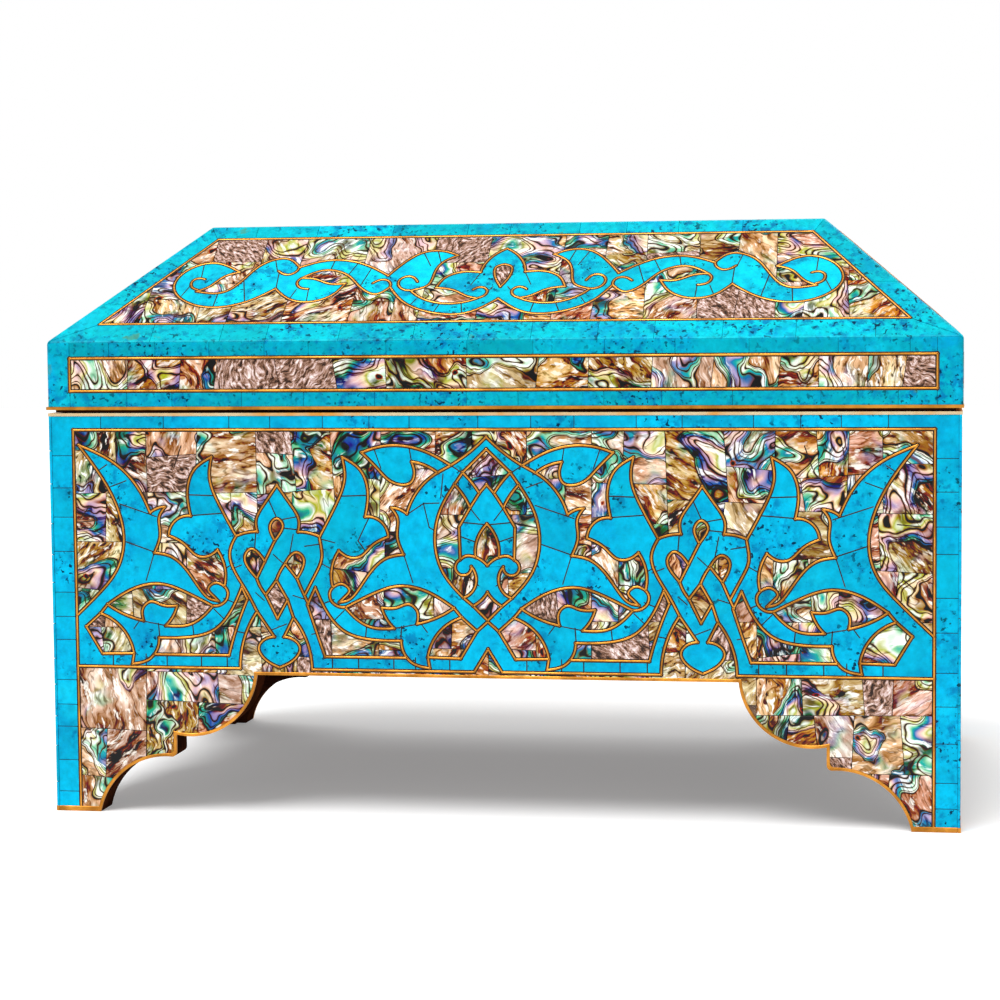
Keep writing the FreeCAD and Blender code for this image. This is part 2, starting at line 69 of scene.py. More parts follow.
def low(node, axis):
    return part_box(node)[0][axis] / MM


def high(node, axis):
    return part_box(node)[1][axis] / MM


# Sizes read from the frame, in millimetres
HALF_WIDTH = high("body_rim", X)
HALF_DEPTH = -low("body_rim", Y)
BODY_SKIN_TOP = low("body_rim", Z)
BODY_TOP = high("body_rim", Z)
LID_HALF_WIDTH = high("lid_rim", X)
LID_HALF_DEPTH = -low("lid_rim", Y)
LID_RIM_TOP = high("lid_rim", Z)
LID_BOARD_FOOT = low("lid_front_rail", Z)
LID_FOLD = high("lid_front_rail", Z)
LID_TOP = high("lid_top_wire", Z)
LID_INSET = LID_HALF_WIDTH - high("lid_top_border", X)
SKIN = HALF_WIDTH - high("front_board", X)
SLOPE = math.atan2(LID_TOP - LID_FOLD, LID_INSET)
SLOPE_LENGTH = math.hypot(LID_TOP - LID_FOLD, LID_INSET)

# Frames of the faces, to the middle of their wires
STILE = 10.3
RAIL_Z = 154.0
BASE_BOTTOM = 59.0
BASE_TOP = 64.2
BAND_BOTTOM = 169.5
BAND_TOP = 182.5
BAND_END = 10.0
SLOPE_BOTTOM = 11.0
SLOPE_TOP = 63.5
SLOPE_BOTTOM_END = 20.2
SLOPE_TOP_END = 58.7
TOP_BORDER = 9.5
# Inner ends of the slope's mitre joints: distance in from the side, and height up the slope
SLOPE_MITRES = ((SLOPE_BOTTOM_END + 1.0, SLOPE_BOTTOM + 0.5), (SLOPE_TOP_END + 0.2, SLOPE_TOP - 1.0))

# Bracket feet, measured from the corner of the face
APRON_UNDERSIDE = 56.5
LOBE_FROM_CORNER = 56.6
LOBE_CENTRE_Z = 59.3
LOBE_RADIUS = 28.0
LOBE_TURN = math.radians(225)
STEP_FROM_CORNER = 50.8
TOE_ROUND = 2.0
TOE_BEND = 0.3
COVE_FROM_CORNER = 46.8
COVE_CENTRE_Z = -5.8
COVE_RADIUS = 28.8
COVE_MIDDLE = 0.72
EDGING = 1.2
FOOT_STRIP = 2.0

# Heights of the inlay over the face, and fineness of its curves
STONE_TOP = -0.22
STONE_FOOT = 0.05 - SKIN
SCRAP_TOP = STONE_TOP - 0.05
BED_TOP = -0.6
JOINT_CROWN = -0.13
JOINT_FOOT = -0.5
FILLER_CROWN = -0.14
FILLER_FOOT = -0.35
WIRE_FOOT = -0.6
BED_INSET = 0.3
STEP = 0.7
TOUCH = 0.001

# How far a cut runs on past a wire, past the edge of the face, past the end of a stroke and past a plate
OVERLAP = 0.5
PAST_EDGE = 1.0
REACH_ON = 1.2
PLATE_REACH = 1.5

# Chance in the lengths of stones and plates, as shares of the usual length, and the lean of a plate's side
FIRST_STONE = (0.4, 1.0)
NEXT_STONE = (0.7, 1.35)
LAST_STONE = 0.3
LARGEST_PLATE = (1.0, 1.5)
PLATE_SHARE = (0.36, 0.64)
PLATE_LEAN = 1.4

# Places where the usual stone or plate is longer
RAIL_STONE = 1.7
BAND_STONE = 2.0
LID_STONE = 1.9
BAND_PLATE = 1.15

# What a line of the drawing cuts
OUTLINE, STONE_JOINT, SHELL_JOINT, GUIDE = 1, 2, 4, 8
# What a piece of the drawing is
OUTSIDE, BORDER, MOTIF, SHELL, BINDING = range(5)
LONG_SIDES = ("front", "back")


# Plane outlines: a chain is a list of runs, and each run is a smooth curve through its points
def link(start, *runs):
    """Join runs end to end; each is given by the points that follow the last one."""
    chain = []
    for run in runs:
        chain.append([start] + list(run))
        start = run[-1]
    return chain


def mirrored(chain, axis=0.0):
    """Mirror a chain about an upright axis and keep it running from left to right."""
    return [[(2 * axis - x, z) for x, z in reversed(run)] for run in reversed(chain)]


def shifted(chain, distance):
    return [[(x + distance, z) for x, z in run] for run in chain]


def both_halves(half):
    """Close a right half whose ends lie on the axis with its mirror image."""
    return half + mirrored(half)


def closed(chain):
    first, last = chain[0][0], chain[-1][-1]
    return chain + [[last, first]] if math.dist(first, last) > TOUCH else chain


def arc_points(run):
    """Circle through three points, sampled evenly by angle."""
    a, b, c = (complex(*point) for point in run)
    w = (c - a) / (b - a)
    centre = (b - a) * (w - abs(w) ** 2) / (w - w.conjugate()) + a
    turn = np.angle((b - centre) / (a - centre)) + np.angle((c - centre) / (b - centre))
    count = max(3, int(abs(turn) * abs(a - centre) / STEP) + 2)
    points = centre + (a - centre) * np.exp(1j * turn * np.linspace(0, 1, count))
    return np.stack([points.real, points.imag], axis=1)


def spline_points(run):
    """Natural cubic through the points over chord length: each span is the cubic with the solved bends."""
    knots = np.array(run, float)
    span = np.linalg.norm(np.diff(knots, axis=0), axis=1)
    count = len(knots)
    system, right = np.eye(count), np.zeros((count, 2))
    inner = np.arange(1, count - 1)
    rise = np.diff(knots, axis=0) / span[:, None]
    system[inner, inner - 1] = span[:-1]
    system[inner, inner] = 2 * (span[:-1] + span[1:])
    system[inner, inner + 1] = span[1:]
    right[inner] = 6 * np.diff(rise, axis=0)
    bend = np.linalg.solve(system, right)
    start = np.concatenate([[0], np.cumsum(span)])
    at = np.linspace(0, start[-1], int(start[-1] / STEP) + 2)
    i = np.clip(np.searchsorted(start, at, side="right") - 1, 0, count - 2)
    h, after = span[i][:, None], (at - start[i])[:, None]
    before = h - after
    return ((bend[i] * before ** 3 + bend[i + 1] * after ** 3) / (6 * h)
            + (knots[i] / h - bend[i] * h / 6) * before
            + (knots[i + 1] / h - bend[i + 1] * h / 6) * after)


def trace(run):
    """Points along a run: a line for two points, an arc for three, a spline for more."""
    if len(run) == 2:
        return np.array(run, float)
    return arc_points(run) if len(run) == 3 else spline_points(run)


def loop_of(chain):
    """All points of a closed chain, once round."""
    return np.concatenate([trace(run)[:-1] for run in closed(chain)])


def inside(polygon, points):
    """Even-odd test of points against a closed polygon."""
    a, b = polygon, np.roll(polygon, -1, axis=0)
    x, z = points[:, :1], points[:, 1:]
    spans = (a[:, 1] > z) != (b[:, 1] > z)
    rise = np.where(a[:, 1] == b[:, 1], 1.0, b[:, 1] - a[:, 1])
    crossing = a[:, 0] + (z - a[:, 1]) * (b[:, 0] - a[:, 0]) / rise
    return (spans & (x < crossing)).sum(axis=1) % 2 == 1


def rectangle(x0, z0, x1, z1):
    return link((x0, z0), [(x1, z0)], [(x1, z1)], [(x0, z1)], [(x0, z0)])


def apron(half, inset=0.0, foot=0.0):
    """Lower outline of a face from the left foot to the right one, moved into the face by inset."""
    underside = APRON_UNDERSIDE + inset
    lobe_x = half - LOBE_FROM_CORNER
    lobe_r = LOBE_RADIUS - inset
    lobe_start = lobe_x - math.sqrt(lobe_r ** 2 - (LOBE_CENTRE_Z - underside) ** 2)
    lobe_middle = (lobe_x + lobe_r * math.cos(LOBE_TURN), LOBE_CENTRE_Z + lobe_r * math.sin(LOBE_TURN))
    step_x = half - STEP_FROM_CORNER + inset
    lobe_end_z = LOBE_CENTRE_Z - math.sqrt(lobe_r ** 2 - (step_x - lobe_x) ** 2)
    cove_x = half - COVE_FROM_CORNER
    cove_r = COVE_RADIUS + inset

    def cove(x):
        return (x, COVE_CENTRE_Z + math.sqrt(cove_r ** 2 - (x - cove_x) ** 2))

    toe = cove(step_x + TOE_ROUND)
    toe_middle = (step_x + TOE_ROUND * TOE_BEND, toe[1] + TOE_ROUND * TOE_BEND)
    foot_x = cove_x + math.sqrt(cove_r ** 2 - (foot - COVE_CENTRE_Z) ** 2)
    right = link((0, underside), [(lobe_start, underside)], [lobe_middle, (step_x, lobe_end_z)],
                 [(step_x, toe[1] + TOE_ROUND)], [toe_middle, toe],
                 [cove(cove_x + cove_r * COVE_MIDDLE), (foot_x, foot)])
    return mirrored(right) + right


# Arabesque of the body. Heights are above the floor, widths from the axis of the lens.
LENS_TO_KNOT = 84.0
REPEAT = 2 * LENS_TO_KNOT
CROSSING_Z = 79.0
PATTERN_SHIFT = -2.2
CREST = link((0, 151.2), [(4, 147.4), (14.1, 140.1)],
             [(23.3, 145.1), (33.2, 147.7), (43, 147.2), (49.7, 145.1)],
             [(43, 138.4), (36.7, 133.1), (30, 133.4), (28.6, 137), (29.6, 141.4)],
             [(25.2, 140.4), (19.4, 137.2)], [(26.8, 130.8), (31.8, 121.1)])
LEAVES = link((31.8, 121.1), [(34.8, 122.8), (38.1, 123.4)], [(35.6, 119.5), (35.8, 113), (33.3, 105)],
              [(40.2, 103.5), (47.4, 97), (52.2, 90.2), (55.6, 86.9), (59.3, 85.9)],
              [(57, 88.2), (55.2, 90.6), (57.8, 93.1), (61.9, 91.9)], [(62.4, 98), (59.3, 106.3)],
              [(55.5, 103.8), (51.5, 103.7), (45.9, 108.4), (39.3, 111.9)], [(42.1, 117.9), (48.5, 119.8)],
              [(47.3, 129), (50.4, 138.4), (57.5, 143.3)], [(56.5, 136), (60.4, 124.2), (67, 111.9)],
              [(70.8, 113.2), (75.7, 113.7)], [(75.2, 117.5), (78.6, 124.5), (84, 132.2)])
EYE = link((57, 83.9), [(46.6, 89), (35.5, 92.5), (23.3, 90.1), (13.4, 84.1)], [(20.3, 80.2), (28.2, 77.7)],
           [(28.1, 82.8), (31.2, 85.4), (36, 84.1), (42.3, 83.9)], [(40.6, 79.8), (37.4, 75.8)],
           [(47.3, 76.4), (52.5, 79.4), (57, 83.9)])
TAIL_WINDOW = link((4.3, 75.1), [(10.3, 80.4)], [(19.3, 74.6), (24, 64.5)], [(10.9, BASE_TOP)], [(4.3, 75.1)])
SWAG = link((32.4, BASE_TOP), [(34.1, 67.4), (34.6, 70.9)],
            [(48, 71.4), (57.1, 74.2), (64.7, 82.5), (69, 91.6)])
LEFT_LEG = link((69, 91.6), [(71.2, 86.8)], [(66.7, 75.5), (63.3, BASE_TOP)])
RIGHT_LEG = link((69, 91.6), [(72.3, 84.8)], [(68.2, 72.4), (65.4, BASE_TOP)])
TOP_DIAMOND = link((0, 146.4), [(9.4, 137.3)], [(6, 133.6), (2.9, 129.3)], [(0, 132.6)])
ALMOND = link((0, 117.2), [(3.2, 112.8), (4.6, 104.2)], [(2.2, 103), (0, 101)])
LOWER_DIAMOND = link((0, 90.4), [(2.6, 87.2), (5.7, 85)], [(0, 79.4)])
CRESCENT = link((12.7, 132.6), [(18.3, 122.9), (20.7, 110.5), (17.7, 98.3), (9.6, 88.2)],
                [(4.6, 93.6), (6.3, 100.4)], [(9.5, 97), (10.7, 103.2)], [(11.1, 116)],
                [(6.6, 123.6)], [(9.4, 128.6), (12.7, 132.6)])
NOTCH = link((-5.6, BASE_BOTTOM), [(0, 68.1)], [(5.6, BASE_BOTTOM)])

# Knot, from its own axis
TEARDROP = link((-1.2, 110.2), [(1.4, 113.9), (2.1, 116.6), (-0.2, 118.9), (-2.9, 116.6), (-2.6, 113),
                                (-1.2, 110.2)])
LEFT_LOOP = link((-8.8, 95.2), [(-12.3, 99.6), (-13.5, 104), (-11, 106.8), (-8, 105.3), (-5.4, 101.9)])
RIGHT_LOOP = link((7.6, 95.2), [(10.2, 100.2), (10.3, 103.4), (7.5, 105.5), (5, 104.2), (2.9, 101.1)])
KNOT_DIAMOND = link((-0.8, 94.4), [(3.6, 86.7)], [(-0.6, 79.3)], [(-5.2, 88.6)])
HEART_WINDOW = link((-16.1, BASE_BOTTOM), [(-13.6, 73), (-8.9, 81.9)], [(-2, 71.9)],
                    [(-5.6, 71), (-8.4, 67.8), (-5.8, 62.8), (0, 59.6)],
                    [(5.8, 62.8), (8.4, 67.8), (5.6, 71), (2, 71.9)], [(5.9, 79.6)],
                    [(10.6, 71.8), (13.2, BASE_BOTTOM)])

# Wires that part one strap from the strap it passes over: in the lens, right of it, and round a knot
LENS_WIRES = [
    [(14.1, 140.1), (19.4, 137.2)], [(9.4, 137.3), (12.7, 132.6)], [(2.9, 129.3), (6.6, 123.6)],
    [(9.6, 88.2), (5.7, 85)], [(0, 78.9), (4.3, 75.1)],
    [(10.7, 103.2), (9.2, 104.3), (7, 104.7), (4.6, 104.2)]]
STRAP_WIRES = [
    [(61.9, 91.9), (63.2, 89.8), (63.2, 88.1), (62.5, 86.3), (61, 84.9), (59.3, 84.1), (57, 83.9)],
    [(13.4, 84.1), (10.3, 80.4)], [(24, 64.5), (23.3, 60.2)],
    [(23.3, 60.2), (27.6, 61), (30.8, 62.6), (32.4, BASE_TOP)]]
KNOT_WIRES = [
    [(-17, 111.9), (-18.9, 108.3), (-19.7, 105.2), (-18.4, 99.1), (-13.5, 90.6), (-8.9, 81.9)],
    [(17, 111), (17.7, 106.8), (17.8, 103.7), (15.4, 97.5), (10.7, 88.8)],
    [(-1.2, 110.2), (-5.4, 101.9)], [(2.9, 101.1), (0.8, 98), (-0.8, 94.4)],
    [(-8.8, 95.2), (-6.9, 90.9), (-5.2, 88.6)], [(7.6, 95.2), (10, 89.6), (12.1, 85.2)],
    [(3.6, 86.7), (5.9, 79.6)]]

# Saw joints of the turquoise, right of a lens and round a knot
LENS_JOINTS = [
    [(33.2, 105), (29.7, 94)], [(30.6, 147), (29.6, 141)], [(48.2, 128.2), (57.7, 127.9)],
    [(62.4, 99), (66, 101)], [(26.5, 77.6), (24.2, 74.5)], [(28.2, 77.5), (37.4, 75.8)],
    [(34.4, 76.6), (34.8, 71)], [(48.5, 76.4), (49, 71.8)], [(57.5, 82.6), (61.2, 79)],
    [(61.5, 87), (66, 85.2)], [(66, 73.9), (70.6, 73.1)], [(4.2, 110), (11, 112.4)],
    [(1.4, 117), (9.9, 117.8)], [(2.9, 118.7), (6.6, 123.4)], [(3.5, 93), (8, 97)],
    [(9.5, 137), (14.1, 140.1)], [(45, 147.5), (42, 139)], [(39.6, 111.9), (48, 108)]]
# Joints of the middle lens that differ on its two sides, both measured outwards
LEFT_JOINTS = [
    [(17.2, 136.6), (18.2, 127.4)], [(31, 121.2), (25.1, 125.1)], [(25.1, 125.1), (19, 125.3)],
    [(25.1, 125.1), (22.9, 115.7)], [(22.9, 115.7), (20.6, 114.4)], [(46.6, 120.2), (51.5, 110.3)],
    [(51.5, 110.3), (48.5, 106.2)], [(61, 109.5), (67, 111)]]
RIGHT_JOINTS = [
    [(15.7, 131.4), (22, 133.7)], [(19.2, 124.5), (34.2, 119.5)], [(21, 109.5), (33.2, 105.3)],
    [(49.5, 120), (62.6, 121)]]
KNOT_JOINTS = [
    [(-19.4, 98.6), (-15, 100.3)], [(-8.9, 113.6), (-9.5, 106.5)], [(1.3, 115.2), (9, 114.5)],
    [(-1.8, 104.6), (1.7, 101.4)], [(6.3, 112.6), (4.8, 105)], [(-9.3, 89.3), (-6, 86.4)],
    [(6, 88.4), (10.5, 87)], [(-4, 127.5), (-0.2, 119)], [(2.2, 118.6), (8.6, 119.8)],
    [(-3, 74.6), (3, 77)], [(11, 108), (17.8, 109)]]
BAND_JOINTS = (15.3, 29, 37.7, 51.9, 62.5)

# Scroll on the lid's slopes: right half, heights measured up the slope
SCROLL_HEART = link((0, 55.2), [(6.6, 48.5), (9, 40.6)], [(16, 41), (23, 37.5), (25.9, 31.4)],
                    [(18, 29.5), (12.4, 25.9), (8.4, 24.7)], [(20.2, 21.7), (36, 29.9)],
                    [(29.3, 33.2), (27.8, 40), (25, 47.3), (19.5, 51.3)],
                    [(24.8, 53.8), (33, 53.8), (40.5, 47.8), (46.5, 39.2)])
SCROLL_ARM = link((46.5, 39.2), [(54, 44.5), (62, 48.2), (74, 48.9), (84, 45)],
                  [(90, 50.5), (98, 48.6), (105.5, 38.8), (113, 30), (124.2, 30.6)],
                  [(119.4, 33.7), (114.5, 39.7), (108.6, 42.4)],
                  [(121, 48.4), (132.5, 41.8), (134.4, 33.8), (125, 23), (113, 20.8), (101, 24.7),
                   (91.7, 31.8)],
                  [(84, 24.9), (76, 23.6), (67.2, 28), (63.3, 34.6)],
                  [(69.6, 34.5), (76.4, 37.6), (82, 38.2)],
                  [(73, 43), (63.6, 40), (56.5, 31.8), (49.6, 27.9), (44.7, 32)])
SCROLL_TIP = link((46.5, 39.2), [(56, 39.5), (66, 34), (74, 22.5)], [(64, 24.6), (54, 26), (44.7, 32)])
SCROLL_FOOT = link((44.7, 32), [(38.6, 23.6), (27, 16.8), (12, 16), (0, 24.4)])
LID_TEARDROP = link((0, 45.4), [(2.9, 44), (3.4, 40.4), (0, 31.6)])
HEART_HOOKS = [
    [(8.6, 24.8), (6.2, 26), (5, 28), (5.3, 30), (7, 31.4), (9, 31.3), (10.6, 30.1)],
    [(35, 30), (37.5, 30), (40, 31.2), (41.5, 33.5), (41.5, 36), (40, 38), (37.5, 38.6), (35.5, 37.5),
     (34, 35.2)]]
ARM_HOOKS = [
    [(44.7, 32), (44.7, 33.5), (45.5, 35.5), (47.5, 36.7), (50, 36.3), (52, 34.7)],
    [(82, 38.2), (83.2, 36.5), (83, 34), (81.3, 32.2), (78.3, 31.5)],
    [(84.3, 45.6), (84.4, 43.5), (85.7, 41.5), (88, 40.5), (90.5, 41.2), (92.4, 42.8)],
    [(124, 31.6), (126.5, 33), (127.5, 35.3), (127, 37.6), (125, 38.8), (122.4, 38.2)]]
HEART_JOINTS = [
    [(14.5, 21.8), (13.5, 16)], [(23, 22), (25, 16.5)], [(33, 24.5), (35, 21)], [(30, 45), (34, 53.6)],
    [(7.5, 44), (12, 33)], [(3, 31.6), (5, 28.5)], [(26, 47), (28, 53.6)]]
ARM_JOINTS = [
    [(60, 47.5), (63, 40)], [(77.5, 23.4), (78, 32)], [(83, 31), (85, 25)], [(91.5, 31.8), (92, 42)],
    [(95, 50), (93, 43)], [(106, 38), (103, 24)], [(115, 30), (115.5, 20.8)], [(124, 38.8), (124.5, 47)],
    [(130, 28), (127, 36)], [(54, 44), (57, 33)], [(70, 48.8), (71, 42.5)]]


def lens_end(frame_x):
    """Half lens and strap where the pattern runs out against the frame."""
    strap_foot = (frame_x, CROSSING_Z + frame_x)
    return link(strap_foot, [(9.6, 88.2), (17.7, 98.3), (20.7, 110.5), (18.3, 122.9), (2.6, 148)],
                [(17.6, 140.6), (27.4, 130.2), (31.8, 121.1)])


def knot_end(frame_x):
    """Outer half of a knot that ends the pattern, and its leg down to the base band."""
    half = mirrored(LEAVES[-2:], LENS_TO_KNOT)
    return half + link(half[-1][-1], [(101.7, 106.8), (101.8, 103.7), (99.4, 97.5), (94.7, 88.8)],
                       [(96.8, 86.8)], [(101.3, 75.5), (104.7, BASE_TOP)], [(frame_x, BASE_TOP)])


def middle_windows():
    """Shell windows of the middle lens and its two neighbouring knots."""
    windows = [both_halves(half) for half in (TOP_DIAMOND, ALMOND, LOWER_DIAMOND)]
    for window in (CRESCENT, EYE, TAIL_WINDOW):
        windows += [window, mirrored(window)]
    windows += [SWAG + LEFT_LEG, mirrored(SWAG + RIGHT_LEG)]
    for knot in (-LENS_TO_KNOT, LENS_TO_KNOT):
        windows += [shifted(window, knot) for window in (TEARDROP, LEFT_LOOP, RIGHT_LOOP, KNOT_DIAMOND)]
    return windows


def outer_windows():
    """Shell windows beyond the knots on the long face."""
    windows = [shifted(SWAG + LEFT_LEG, -REPEAT), mirrored(shifted(SWAG + RIGHT_LEG, -REPEAT))]
    for window in (EYE, TAIL_WINDOW):
        windows += [shifted(window, -REPEAT), shifted(mirrored(window), REPEAT)]
    return windows


def lower_chain():
    """Lower outline of the net: two hearts and the notch between them."""
    lower = shifted(HEART_WINDOW, -LENS_TO_KNOT)
    lower += [[lower[-1][-1], NOTCH[0][0]]] + NOTCH
    heart = shifted(HEART_WINDOW, LENS_TO_KNOT)
    return lower + [[NOTCH[-1][-1], heart[0][0]]] + heart


def strokes(lens_runs, knot_runs, whole):
    """Repeat short runs on every lens and knot; a whole face has a half unit beyond each knot too."""
    runs = lens_runs + mirrored(lens_runs)
    if whole:
        runs = runs + shifted(lens_runs, -REPEAT) + shifted(mirrored(lens_runs), REPEAT)
    return runs + shifted(knot_runs, -LENS_TO_KNOT) + shifted(knot_runs, LENS_TO_KNOT)


# Drawing of one face: lines to cut along, wires to lay, and what each patch is
class Drawing:
    """Lines and wires of one face, and the outlines that tell its patches apart."""

    def __init__(self, outline, seed, band=False):
        self.outline, self.band = loop_of(outline), band
        self.lines = []
        self.wires = []
        self.joints = []
        self.random = np.random.default_rng(seed)
        self.motifs, self.windows, self.fields, self.bound = [], [], [], None
        self.cut(OUTLINE, [np.concatenate([self.outline, self.outline[:1]])])

    def cut(self, sort, paths):
        self.lines += [(sort, path) for path in paths]

    def wire(self, chain, cuts=OUTLINE):
        paths = [trace(run) for run in chain]
        self.wires += paths
        self.cut(cuts, paths)

    def joint(self, start, stop):
        self.cut(STONE_JOINT, [np.array([start, stop])])

    def saw(self, runs):
        """Straight joints between stones, cut a little past both ends so that they go right through."""
        for run in runs:
            a, b = np.array(run, float)
            on = (b - a) / np.linalg.norm(b - a) * REACH_ON
            self.joints.append(np.stack([a, b]))
            self.joint(a - on, b + on)

    def field(self, chain):
        self.fields.append(loop_of(chain))
        self.wire(closed(chain))

    def sort_of(self, points):
        """What the patch round each point is."""
        def any_of(loops):
            return np.any([inside(loop, points) for loop in loops], axis=0) if loops else False

        motif = any_of(self.motifs) & ~np.asarray(any_of(self.windows))
        sort = np.where(any_of(self.fields), np.where(motif, MOTIF, SHELL), BORDER)
        if self.bound is not None:
            sort = np.where(inside(self.bound, points), sort, BINDING)
        return np.where(inside(self.outline, points), sort, OUTSIDE)

    def tiles(self, x0, z0, x1, z1, size):
        """Joints of uneven shell plates: a rectangle is parted across its length until plates are small."""
        width, height = x1 - x0, z1 - z0
        if max(width, height) < size * self.random.uniform(*LARGEST_PLATE):
            return
        share, lean = self.random.uniform(*PLATE_SHARE), self.random.uniform(-PLATE_LEAN, PLATE_LEAN)
        if width > height:
            x = x0 + share * width
            self.cut(SHELL_JOINT, [np.array([(x - lean, z0 - PLATE_REACH), (x + lean, z1 + PLATE_REACH)])])
            self.tiles(x0, z0, x, z1, size)
            self.tiles(x, z0, x1, z1, size)
        else:
            z = z0 + share * height
            self.cut(SHELL_JOINT, [np.array([(x0 - PLATE_REACH, z - lean), (x1 + PLATE_REACH, z + lean)])])
            self.tiles(x0, z0, x1, z, size)
            self.tiles(x0, z, x1, z1, size)

    def row_joints(self, start, stop, length):
        """Uneven places along a row of stones."""
        places, place = [], start + length * self.random.uniform(*FIRST_STONE)
        while place < stop - LAST_STONE * length:
            places.append(place)
            place += length * self.random.uniform(*NEXT_STONE)
        return places


def body_drawing(side, sizes, seed):
    """Frame, base band, feet and arabesque of one body face."""
    long_face = side in LONG_SIDES
    half = HALF_WIDTH if long_face else HALF_DEPTH
    end = half - SKIN if long_face else half
    frame_x = half - STILE
    low_chain = apron(half)
    outline = link((-end, 0), [low_chain[0][0]]) + low_chain
    outline += link(low_chain[-1][-1], [(end, 0)], [(end, BODY_SKIN_TOP)], [(-end, BODY_SKIN_TOP)])
    drawing = Drawing(outline, seed)
    strip = apron(half, EDGING, FOOT_STRIP)
    strip = link((-end, FOOT_STRIP), [strip[0][0]]) + strip + link(strip[-1][-1], [(end, FOOT_STRIP)])
    drawing.bound = loop_of(strip + link((end, FOOT_STRIP), [(end, BODY_SKIN_TOP)], [(-end, BODY_SKIN_TOP)]))
    drawing.cut(OUTLINE, [trace(run) for run in strip])
    drawing.fields.append(loop_of(rectangle(-frame_x, 0, frame_x, RAIL_Z)))
    drawing.wire(link((-frame_x, FOOT_STRIP), [(-frame_x, RAIL_Z)], [(frame_x, RAIL_Z)],
                      [(frame_x, FOOT_STRIP)]))
    stone = sizes.stone_length / MM
    for sign in (-1, 1):
        for z in drawing.row_joints(FOOT_STRIP, BODY_SKIN_TOP, stone):
            drawing.joint((sign * (frame_x - OVERLAP), z), (sign * (end + PAST_EDGE), z))
    for x in drawing.row_joints(-frame_x, frame_x, RAIL_STONE * stone):
        drawing.joint((x, RAIL_Z - OVERLAP), (x, BODY_SKIN_TOP + PAST_EDGE))
    if side == "back":
        band = rectangle(-frame_x, BASE_BOTTOM, frame_x, BASE_TOP)
        drawing.motifs.append(loop_of(band))
        drawing.wire([band[0], band[2]])
        for x in drawing.row_joints(-frame_x, frame_x, stone):
            drawing.joint((x, BASE_BOTTOM - OVERLAP), (x, BASE_TOP + OVERLAP))
    else:
        add_arabesque(drawing, side, frame_x)
    drawing.tiles(-frame_x, 0, frame_x, RAIL_Z, sizes.shell_tile / MM)
    return drawing


def add_arabesque(drawing, side, frame_x):
    """Draw the turquoise net, its windows, and the wires and joints on it."""
    whole = side == "front"
    shift = PATTERN_SHIFT if whole else 0.0
    windows, lower = middle_windows(), lower_chain()
    if whole:
        left_end, right_end = (lens_end(REPEAT + turn * shift - frame_x) for turn in (-1, 1))
        upper = shifted(left_end + LEAVES, -REPEAT) + mirrored(CREST + LEAVES)
        upper += CREST + LEAVES + mirrored(shifted(right_end + LEAVES, -REPEAT))
        windows += outer_windows()
    else:
        right = CREST + LEAVES + knot_end(frame_x)
        upper = mirrored(right) + right
    upper, lower = shifted(upper, shift), shifted(lower, shift)
    windows = [shifted(window, shift) for window in windows]
    foot_left, foot_right = (-frame_x, BASE_BOTTOM), (frame_x, BASE_BOTTOM)
    lower = [[foot_left, lower[0][0]]] + lower + [[lower[-1][-1], foot_right]]
    net = upper + link(upper[-1][-1], [foot_right]) + [list(reversed(run)) for run in reversed(lower)]
    drawing.motifs.append(loop_of(net))
    drawing.windows += [loop_of(window) for window in windows]
    for chain in [upper, lower] + [closed(window) for window in windows]:
        drawing.wire(chain)
    crossings = LENS_WIRES + mirrored(LENS_WIRES) + strokes(STRAP_WIRES, KNOT_WIRES, whole)
    drawing.wire(shifted(crossings, shift), STONE_JOINT)
    band = [[(x, BASE_BOTTOM), (x, BASE_TOP)] for x in BAND_JOINTS]
    drawing.saw(shifted(strokes(LENS_JOINTS + band, KNOT_JOINTS, whole), shift))
    drawing.saw(shifted(RIGHT_JOINTS + mirrored(LEFT_JOINTS), shift))
    if whole:
        drawing.saw(shifted(RIGHT_JOINTS, shift - REPEAT) + shifted(mirrored(RIGHT_JOINTS), shift + REPEAT))


# Guide lines beside a rounded edge of the lid, as shares of its radius
BEND_LINES = (0.12, 0.3, 0.55, 0.85, 1.1)


def round_guides(drawing, chain, sizes):
    """Lines beside the edges of a lid face that let its skin bend round the corners."""
    for share in BEND_LINES:
        inset = share * sizes.corner_round / MM
        for (x0, z0), (x1, z1) in chain:
            length = math.dist((x0, z0), (x1, z1))
            side = np.array([-(z1 - z0), x1 - x0]) / length * inset
            drawing.cut(GUIDE, [np.array([(x0, z0), (x1, z1)]) + side])


def band_drawing(side, sizes, seed):
    """Upright band of the lid: a strip of shell plates in a turquoise border."""
    half = LID_HALF_WIDTH if side in LONG_SIDES else LID_HALF_DEPTH
    outline = rectangle(-half, LID_RIM_TOP, half, LID_FOLD)
    drawing = Drawing(outline, seed, band=True)
    round_guides(drawing, outline[1:], sizes)
    x = half - BAND_END
    drawing.field(rectangle(-x, BAND_BOTTOM, x, BAND_TOP))
    stone = BAND_STONE * sizes.stone_length / MM
    for z0, z1 in ((LID_RIM_TOP, BAND_BOTTOM), (BAND_TOP, LID_FOLD)):
        for place in drawing.row_joints(-x, x, stone):
            drawing.joint((place, z0 - OVERLAP), (place, z1 + OVERLAP))
    for end in (-x, x):
        drawing.joint((end, BAND_TOP - OVERLAP), (end, LID_FOLD + OVERLAP))
        drawing.joint((end, BAND_BOTTOM + OVERLAP), (end, LID_RIM_TOP - OVERLAP))
    drawing.tiles(-x, BAND_BOTTOM, x, BAND_TOP, BAND_PLATE * sizes.shell_tile / MM)
    return drawing


